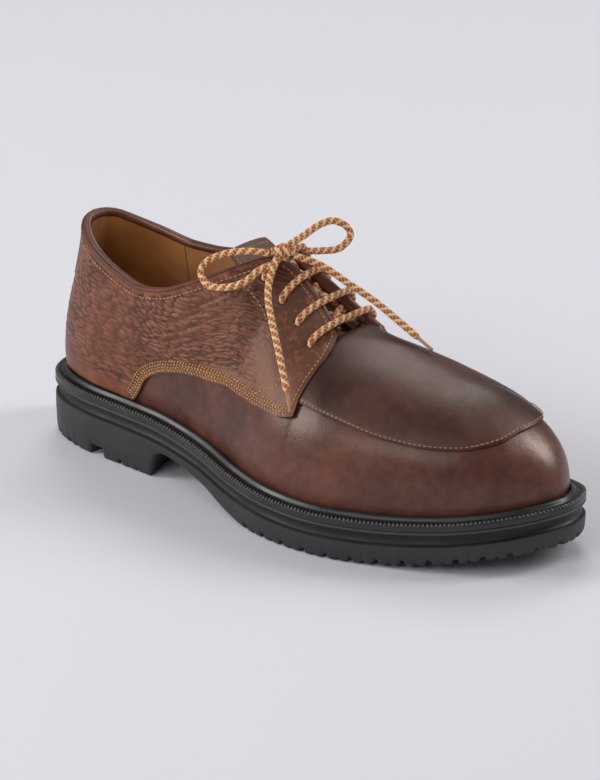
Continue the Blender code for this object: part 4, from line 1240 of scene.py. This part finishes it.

apron_finish, tree, shader, made = leather_finish(
    "apron_leather", APRON_BROWN, APRON_DEEP, APRON_RED, 0.45, 1500.0, (0.38, 0.50), 0.00010,
    Coat_Weight=0.12, Coat_Roughness=0.32)
# Painted shadow: the apron darkens towards the quarters' front edges, where the facings and laces shade it,
# with darker wax there too
rub_and_shade = vertex_value(tree, "rub_and_shade")
wire(tree, shader, Base_Color=mix(tree, rub_and_shade, made.outputs["Color"], PAINTED_SHADE))
apron_u = np.concatenate([np.linspace(APRON_BACK_U, 0.90, 100)[:-1], np.linspace(0.90, 1.0, 60)])
apron_t = np.linspace(0.0, 1.0, 56)
halves = []
for side, column in ((-1, 1), (1, 2)):
    seam = curve_of(APRON_SEAM, column, apron_u)[:, None]
    v = seam + (1 - seam) * apron_t[None, :]
    u = np.broadcast_to(apron_u[:, None], v.shape)
    inner = ramp(v, 0.75, 0.92)
    dive = curve_of(APRON_DIVE, 1, u) * inner + APRON_TUCK * ramp(u, 0.582, 0.570) * (1 - inner)
    halves.append((last_point(side, u, v), creases(APRON_CREASES, side, u, v) + dive))
panel = np.concatenate([halves[0][0], halves[1][0][:, ::-1][:, 1:]], 1)
sink = np.concatenate([halves[0][1], halves[1][1][:, ::-1][:, 1:]], 1)
middle = len(apron_t) - 1
crest = ramp(np.abs(np.arange(panel.shape[1]) - middle), CREST_COLUMNS, 4)[None, :, None]
for turn in range(CREST_TURNS):
    soft = panel.copy()
    soft[:, 1:-1] = (panel[:, :-2] + 2 * panel[:, 1:-1] + panel[:, 2:]) / 4
    folded = np.concatenate([soft, soft[-2:-1, ::-1]])
    soft[1:] = (folded[:-2] + 2 * folded[1:-1] + folded[2:]) / 4
    panel = panel + (soft - panel) * crest
faces = np.cross(np.gradient(panel, axis=0), np.gradient(panel, axis=1))
faces[-1, middle] = faces[-2, middle]
faces = unit(faces)
faces[-1] = unit(faces[-1] + faces[-1, ::-1])
edge_t = np.concatenate([apron_t, apron_t[::-1][1:]])[None, :]
sink = sink + APRON_EDGE_ROUND * ramp(edge_t, 0.030, 0.0)
panel = panel + faces * (OVERLAY_GAP + OVERLAY - sink)[..., None]
apron = lay_grid("apron_panel", panel[:, ::-1], [apron_finish, edge_finish])
# Painted shadow of the facings and laces, with darker wax, fading out towards the toe
rub_and_shade = APRON_SHADOW_AND_WAX * ramp(apron_u, 0.690, 0.600)[:, None]
set_values(apron, "rub_and_shade", np.broadcast_to(rub_and_shade, panel.shape[:2]))
close_up(apron, outward=False)
change(apron, "SOLIDIFY", thickness=OVERLAY, offset=-1.0, material_offset_rim=1)
sharpen(apron, 45)
seat(apron, "vamp_leather", "apron")
lines = []
for side, column in ((-1, 1), (1, 2)):
    seam_u = np.linspace(APRON_FRONT_U, 0.9995, 300)
    line_u, line_v = beside(side, seam_u, curve_of(APRON_SEAM, column, seam_u), APRON_ROW * -side)
    lines.append(stitch_line(side, line_u, line_v, EDGE_PITCH, -0.0003))
dark_thread = new_finish("dark_thread", Base_Color=APRON_THREAD, Roughness=0.6, Specular_IOR_Level=0.35)[0]
rows = sew("apron_stitches", lines, APRON_STITCH, dark_thread)
seat(rows, "vamp_leather")

# Back strip
# A short leather strip over the seam where the two quarters meet at the heel, rounded at its foot
# and tucked under the collar's binding.
BACK_U = 0.030
BACK_V = (0.60, 0.972)
BACK_THICK = 0.0007
BACK_GAP = 0.0002
BACK_COLUMNS = 25

strip_w = np.linspace(-1.0, 1.0, BACK_COLUMNS)
strip_t = np.linspace(0.0, 1.0, 60)[:, None]
reach = BACK_U * np.sqrt(np.clip(1 - (1 - ramp(strip_t, -0.12, 0.14)) ** 2, 0.02, 1.0))
u = np.abs(strip_w)[None, :] * reach
v = BACK_V[0] + (BACK_V[1] - BACK_V[0]) * strip_t
back_out = OVERLAY_GAP + OVERLAY + BACK_GAP + BACK_THICK * ramp(strip_t, -0.05, 0.08)
left = on_last(-1, u, v, back_out)
right = on_last(1, u, v, back_out)
strip = np.where((strip_w < 0)[None, :, None], right, left)
middle = BACK_COLUMNS // 2
strip[:, middle] = (left[:, middle] + right[:, middle]) / 2
back_strip = lay_grid("back_strip", strip, [quarter_finish, edge_finish])
# The back strip takes none of the quarters' painted valley shade and none of their rust
set_values(back_strip, "grain", np.full(strip.shape[:2], 1.0))
set_values(back_strip, "rust", np.full(strip.shape[:2], 0.0))
change(back_strip, "SOLIDIFY", thickness=BACK_THICK, offset=-1.0, material_offset_rim=1)
sharpen(back_strip, 45)
seat(back_strip, "quarter_leather", "back_tab")

# Tongue
# A soft grained leather flap under the facings, sewn in under the vamp. It stands out above the top
# eyelets, and its upper edge is sewn round with one row.
TONGUE_V = (0.78, 0.92)
TONGUE_DROP = 0.0049
TONGUE_SINK = 1.6
TONGUE_ROOT = (0.566, 0.540)  # it falls from the vamp's edge to its full depth between these
TONGUE_THICK = 0.0020
TONGUE_U = (0.640, 0.445)
TONGUE_EXTRA = 0.0230
TONGUE_LIFT = 0.0030
TONGUE_TOP = [
    # share of the way up from the facings, share of the width
    (0.00, 1.00),
    (0.40, 1.02),
    (0.75, 1.05),
    (0.92, 1.02),
    (1.00, 0.94),
]
TONGUE_COLUMNS = 41
TONGUE_FLAT = 0.85            # how much of its arch it loses towards the top
TONGUE_ROW = 4                # rows between its top edge and the stitches
TONGUE_SEWN = 22              # rows that the stitches go down at its sides
TONGUE_PITCH = 0.0022
TONGUE_STITCH = (0.0017, 0.0005, 0.0005)
TONGUE_BROWN = (0.115, 0.042, 0.028, 1.0)
TONGUE_DEEP = (0.062, 0.024, 0.016, 1.0)

tongue_finish = leather_finish("tongue_leather", TONGUE_BROWN, TONGUE_DEEP, QUARTER_RUST, 0.3, 900.0,
                               (0.48, 0.62), 0.00020)[0]
tongue_rows = []
for u in np.linspace(*TONGUE_U, 60):
    sides = []
    for side in (-1, 1):
        point, normal = last_face(side, np.full(3, u), np.linspace(*TONGUE_V, 3))
        inward = unit(-normal - TONGUE_SINK * np.array([0.0, 0.0, 1.0]))
        sides.append(point + inward * (WALL + 0.0005 + TONGUE_DROP * ramp(u, *TONGUE_ROOT)))
    row = np.concatenate([sides[0], sides[1][::-1]])
    for turn in range(2):
        row[1:-1] = (row[:-2] + 2 * row[1:-1] + row[2:]) / 4
    tongue_rows.append(even(smooth_curve(row, 8, False), TONGUE_COLUMNS))
top_row = tongue_rows[-1]
rise = unit(top_row.mean(0) - tongue_rows[-14].mean(0) + np.array([0.0, 0.0, TONGUE_LIFT]))
for share in np.linspace(0.0, 1.0, 24)[1:]:
    narrow = curve_of(TONGUE_TOP, 1, share)
    middle = top_row[TONGUE_COLUMNS // 2]
    spread = (top_row - middle) * narrow
    spread[:, [0, 2]] *= 1 - TONGUE_FLAT * ramp(share, 0.0, 0.7)
    tongue_rows.append(middle + spread + rise * TONGUE_EXTRA * share)
flap = np.array(tongue_rows)
for turn in range(6):
    flap[1:-1] = (flap[:-2] + 2 * flap[1:-1] + flap[2:]) / 4
tongue = lay_grid("tongue_flap", flap, [tongue_finish, edge_finish])
close_up(tongue, outward=False)
change(tongue, "SOLIDIFY", thickness=TONGUE_THICK, offset=-1.0, material_offset_rim=1)
sharpen(tongue, 50)
seat(tongue, "tongue_leather", "tongue")
row = flap[len(flap) - TONGUE_ROW]
inset = TONGUE_ROW // 2
sewn = flap[-TONGUE_SEWN:-TONGUE_ROW]
edge = np.concatenate([sewn[:, inset], row[inset:-inset], sewn[:, -inset][::-1]])
spots = even(edge, int(walked(edge)[-1] / TONGUE_PITCH))
across = unit(flap[-10, -1] - flap[-10, 0])
outs = np.broadcast_to(unit(np.cross(across, rise)), spots.shape)
rows = sew("tongue_stitches", [(spots + outs * 0.0001, unit(np.gradient(spots, axis=0)), outs)],
           TONGUE_STITCH, thread_finish)
seat(rows, "tongue_leather")

# Lace bars and crossings
# One round braided lace, cream with rust strands. It comes up through an eyelet, runs straight over
# the facings to the eyelet across, and goes on to the next pair under the facings, crossing itself.
LACE_RADIUS = 0.0017
LACE_SIDES = 18
LACE_STEP = 0.0005
CROSS_STEP = 0.006
BRAID_TURN = 0.0088           # length of lace in which a strand goes once round
LACE_CREAM = (0.950, 0.690, 0.370, 1.0)
LACE_RUST = (0.600, 0.130, 0.028, 1.0)
TIP_TAN = (0.480, 0.230, 0.120, 1.0)

lace_finish, tree, shader = new_finish("lace_braid", Roughness=0.86, Specular_IOR_Level=0.2,
                                       Sheen_Weight=0.25, Sheen_Roughness=0.5)
cloth = add_node(tree, "ShaderNodeUVMap").outputs[0]
split = add_node(tree, "ShaderNodeSeparateXYZ", {0: cloth}).outputs
turned = math(tree, "ADD", math(tree, "DIVIDE", split[0], BRAID_TURN), split[1])
back = math(tree, "SUBTRACT", math(tree, "DIVIDE", split[0], BRAID_TURN), split[1])
strands = math(tree, "FRACT", math(tree, "MULTIPLY", turned, 2.0))
cross = math(tree, "PINGPONG", math(tree, "MULTIPLY", back, 4.0), 0.5)
weave = math(tree, "ADD", strands, math(tree, "MULTIPLY", cross, 0.16))
rusty = math(tree, "MULTIPLY", fit(tree, weave, 0.44, 0.52), fit(tree, weave, 1.06, 1.00))
rusty = math(tree, "MULTIPLY", rusty, fit(tree, cross, 0.42, 0.34, 0.45, 1.0))
fuzz = noise(tree, object_place(tree), 1800.0, 2.0)
braid = mix(tree, rusty, LACE_CREAM, LACE_RUST)
ply = math(tree, "ADD", cross, math(tree, "PINGPONG", math(tree, "MULTIPLY", turned, 4.0), 0.5))
valley = fit(tree, ply, 0.05, 0.40, 0.42, 1.0)
shade = grey(tree, math(tree, "MULTIPLY", valley, fit(tree, fuzz, 0.3, 0.7, 0.80, 1.12)))
wire(tree, shader, Base_Color=mix(tree, 1.0, braid, shade, "MULTIPLY"))
bump(tree, shader, ply, 0.00035)
tip_finish = new_finish("lace_tip", Base_Color=TIP_TAN, Roughness=0.45)[0]


def lace(name, route, tip=0.0):
    """A braided round cord along a route, with its centreline; a tip is bound slim over its last length."""
    fine = smooth_curve(route, 24, False)
    length = walked(fine)[-1]
    line = even(fine, max(24, int(length / LACE_STEP)))
    run = walked(line)
    turn = np.linspace(0.0, 2 * np.pi, LACE_SIDES + 1)[None, :]
    wind = 2 * np.pi * run[:, None] / BRAID_TURN
    strands = np.cos(4 * (turn + wind)) * np.cos(4 * (turn - wind))
    bound = ramp(run, length - tip - 0.0015, length - tip + 0.0015)[:, None] if tip else 0.0
    rows = tube(line, LACE_RADIUS * (1 - 0.52 * bound) * (0.97 + 0.05 * strands * (1 - bound)), LACE_SIDES)
    row_finish = np.zeros(len(rows) - 1)
    if tip:
        row_finish[1:-1] = run[1:] > length - tip
        row_finish[-1] = 1
    cord = lay_grid(name, rows, [lace_finish, tip_finish], row_finish)
    uv = np.zeros(len(cord.data.loops) * 2)
    layer = cord.data.uv_layers.active.data
    layer.foreach_get("uv", uv)
    uv = uv.reshape(-1, 2)
    share = uv[:, 1] * (len(rows) - 1)
    uv = np.stack([np.clip((share - 1) / (len(line) - 1), 0, 1) * length, uv[:, 0]], 1)
    layer.foreach_set("uv", uv.reshape(-1))
    close_up(cord)
    return cord, line - ORIGIN


over = OVERLAY_GAP + OVERLAY + LACE_RADIUS + 0.0004
under = -WALL - LACE_RADIUS - 0.0006
through_eyelet = ((0.030, under), (0.004, -0.0022), (0.0, 0.0012))
along_facing = ((0.12, over), (0.35, over + 0.0003), (0.65, over + 0.0003), (0.96, over + 0.0003))
for k, (u, v) in enumerate(EYELETS):
    route = []
    for side in (-1, 1):
        half = [on_last(side, u, v + up, out) for up, out in through_eyelet]
        half += [on_last(side, u, v + (1 - v) * share, out) for share, out in along_facing]
        route += half if side < 0 else half[::-1]
    bar = lace("lace_bar_%d_braid" % (k + 1), route)[0]
    seat(bar, "lace_braid", "lace_bar_%d" % (k + 1))
for k in range(len(EYELETS) - 1):
    runs = []
    for side in (-1, 1):
        route = []
        for here, at in ((side, EYELETS[k][0] - CROSS_STEP), (-side, EYELETS[k + 1][0] + CROSS_STEP)):
            half = [on_last(here, at, v, under) for v in (0.885, 0.94, 0.985)]
            route += half if here == side else half[::-1]
        runs.append(lace("lace_cross_%d_%s" % (k + 1, "under" if side < 0 else "over"), route)[0])
    crossing = join(runs)
    seat(crossing, "lace_braid", "lace_cross_%d" % (k + 1))

# Bow
# The lace's own knot, its two loops and its two ends, which hang over the facings. The ends are
# bound into slim hard tips.
BOW = {
    "lace_loop_lateral": [(0.1388, -0.0124, 0.1197), (0.1310, -0.0180, 0.1204), (0.1210, -0.0230, 0.1181),
                          (0.1147, -0.0290, 0.1142), (0.1147, -0.0330, 0.1103), (0.1210, -0.0350, 0.1060),
                          (0.1319, -0.0330, 0.1070), (0.1387, -0.0285, 0.1103), (0.1405, -0.0220, 0.1140),
                          (0.1424, -0.0160, 0.1156)],
    "lace_loop_medial": [(0.1430, -0.0037, 0.1223), (0.1420, 0.0080, 0.1236), (0.1430, 0.0190, 0.1266),
                         (0.1451, 0.0260, 0.1269), (0.1496, 0.0300, 0.1238), (0.1518, 0.0300, 0.1200),
                         (0.1513, 0.0230, 0.1157), (0.1484, 0.0130, 0.1163), (0.1470, 0.0060, 0.1178)],
    "lace_end_lateral": [(0.1431, -0.0117, 0.1183), (0.1463, -0.0205, 0.1111), (0.1521, -0.0280, 0.1045),
                         (0.1602, -0.0345, 0.0977), (0.1727, -0.0435, 0.0871), (0.1851, -0.0515, 0.0714),
                         (0.1881, -0.0535, 0.0657)],
    "lace_end_medial": [(0.1461, -0.0034, 0.1180), (0.1555, 0.0050, 0.1130), (0.1672, 0.0110, 0.1052),
                        (0.1806, 0.0150, 0.0981), (0.1990, 0.0170, 0.0885), (0.2135, 0.0165, 0.0825)],
}
KNOT_MIDDLE = np.array([0.1428, -0.0075, 0.1200])
KNOT_AXIS = np.array([0.56, 0.81, -0.15])
KNOT_RADIUS = 0.0026
KNOT_CLIMB = 0.0017           # how far the wrap goes on in half a turn
KNOT_CORE = (-0.0055, -0.0020, 0.0020, 0.0055)
TIP_LENGTH = 0.010

axis = unit(KNOT_AXIS)
first = unit(np.cross(axis, (0.0, 0.0, 1.0)))
second = np.cross(axis, first)
wrap = []
for angle in np.linspace(-0.4, 3.3, 15) * np.pi:
    step = (angle / np.pi - 1.45) * KNOT_CLIMB
    wrap.append(KNOT_MIDDLE + axis * step + KNOT_RADIUS * (np.cos(angle) * first + np.sin(angle) * second))
core = [KNOT_MIDDLE + axis * step for step in KNOT_CORE]
knot = join([lace("lace_knot_braid", wrap)[0], lace("knot_core", core)[0]])
seat(knot, "lace_braid", "lace_knot")
for name, route in BOW.items():
    free = name.startswith("lace_end")
    cord, path = lace(name + "_braid", route, TIP_LENGTH if free else 0.0)
    seat(cord, "lace_braid", name)

# Studio
# A pale floor without a horizon and soft lights all round. One of them acts on gloss alone: it draws
# out the highlight on the toe. The camera looks down on the outer side of the shoe.
FLOOR_GREY = (0.885, 0.877, 0.924, 1.0)
FLOOR_SIZE = 24.0
AIR_STRENGTH = 0.21
TOE_PLACE = (0.95, 1.12, 1.15)
TOE_AIM = (0.13, 0.01, 0.05)
AZIMUTH = 41.5
ELEVATION = 21.5
DISTANCE = 2.4
LENS = 237.0
AIM = (0.0, 0.0, 0.052)

floor_finish = new_finish("studio_floor", Base_Color=FLOOR_GREY, Roughness=0.9, Specular_IOR_Level=0.1)[0]
bpy.ops.object.select_all(action="DESELECT")
bpy.ops.mesh.primitive_plane_add(size=FLOOR_SIZE)
floor = bpy.context.object
floor.name = "studio_floor"
floor.data.materials.append(floor_finish)


def soft_light(name, place, aim, wide, tall, power):
    """A soft light of a width and a height at a place, turned to a point."""
    data = bpy.data.lights.new(name, "AREA")
    data.shape = "RECTANGLE"
    data.size = wide
    data.size_y = tall
    data.energy = power
    lamp = bpy.data.objects.new(name, data)
    bpy.context.collection.objects.link(lamp)
    way = np.array(place) - np.array(aim)
    lamp.location = place
    lamp.rotation_euler = (np.arctan2(np.hypot(way[0], way[1]), way[2]), 0.0, np.arctan2(way[0], -way[1]))
    return lamp


soft_light("left_light", (-1.35, -1.15, 0.95), (-0.05, 0.0, 0.06), 0.9, 0.9, 16.8)
soft_light("back_light", (-0.80, 1.10, 1.70), (0.0, 0.0, 0.03), 0.9, 0.9, 10.5)
soft_light("side_light", (0.15, -1.75, 1.00), (0.08, 0.0, 0.04), 1.2, 0.5, 7.2)
soft_light("front_light", (0.55, -1.30, 1.90), (0.0, 0.0, 0.0), 1.2, 1.2, 4.0)
soft_light("toe_light", TOE_PLACE, TOE_AIM, 0.45, 1.00, 9.0)
toe_gloss = soft_light("toe_gloss", TOE_PLACE, TOE_AIM, 0.45, 1.00, 19.0)
toe_gloss.visible_diffuse = False
world = bpy.data.worlds.new("studio_air")
world.use_nodes = True
air = world.node_tree.nodes["Background"].inputs
air["Color"].default_value = FLOOR_GREY
air["Strength"].default_value = AIR_STRENGTH
bpy.context.scene.world = world
bpy.context.scene.view_settings.view_transform = "Standard"
turn = np.radians(AZIMUTH)
lift = np.radians(ELEVATION)
back = np.array([np.sin(turn) * np.cos(lift), -np.cos(turn) * np.cos(lift), np.sin(lift)])
lens = bpy.data.cameras.new("photo_view")
lens.lens = LENS
lens.clip_end = 60.0
camera = bpy.data.objects.new("photo_view", lens)
bpy.context.collection.objects.link(camera)
camera.location = np.array(AIM) + back * DISTANCE
camera.rotation_mode = "XYZ"
camera.rotation_euler = (np.pi / 2 - lift, 0.0, turn)
bpy.context.scene.camera = camera
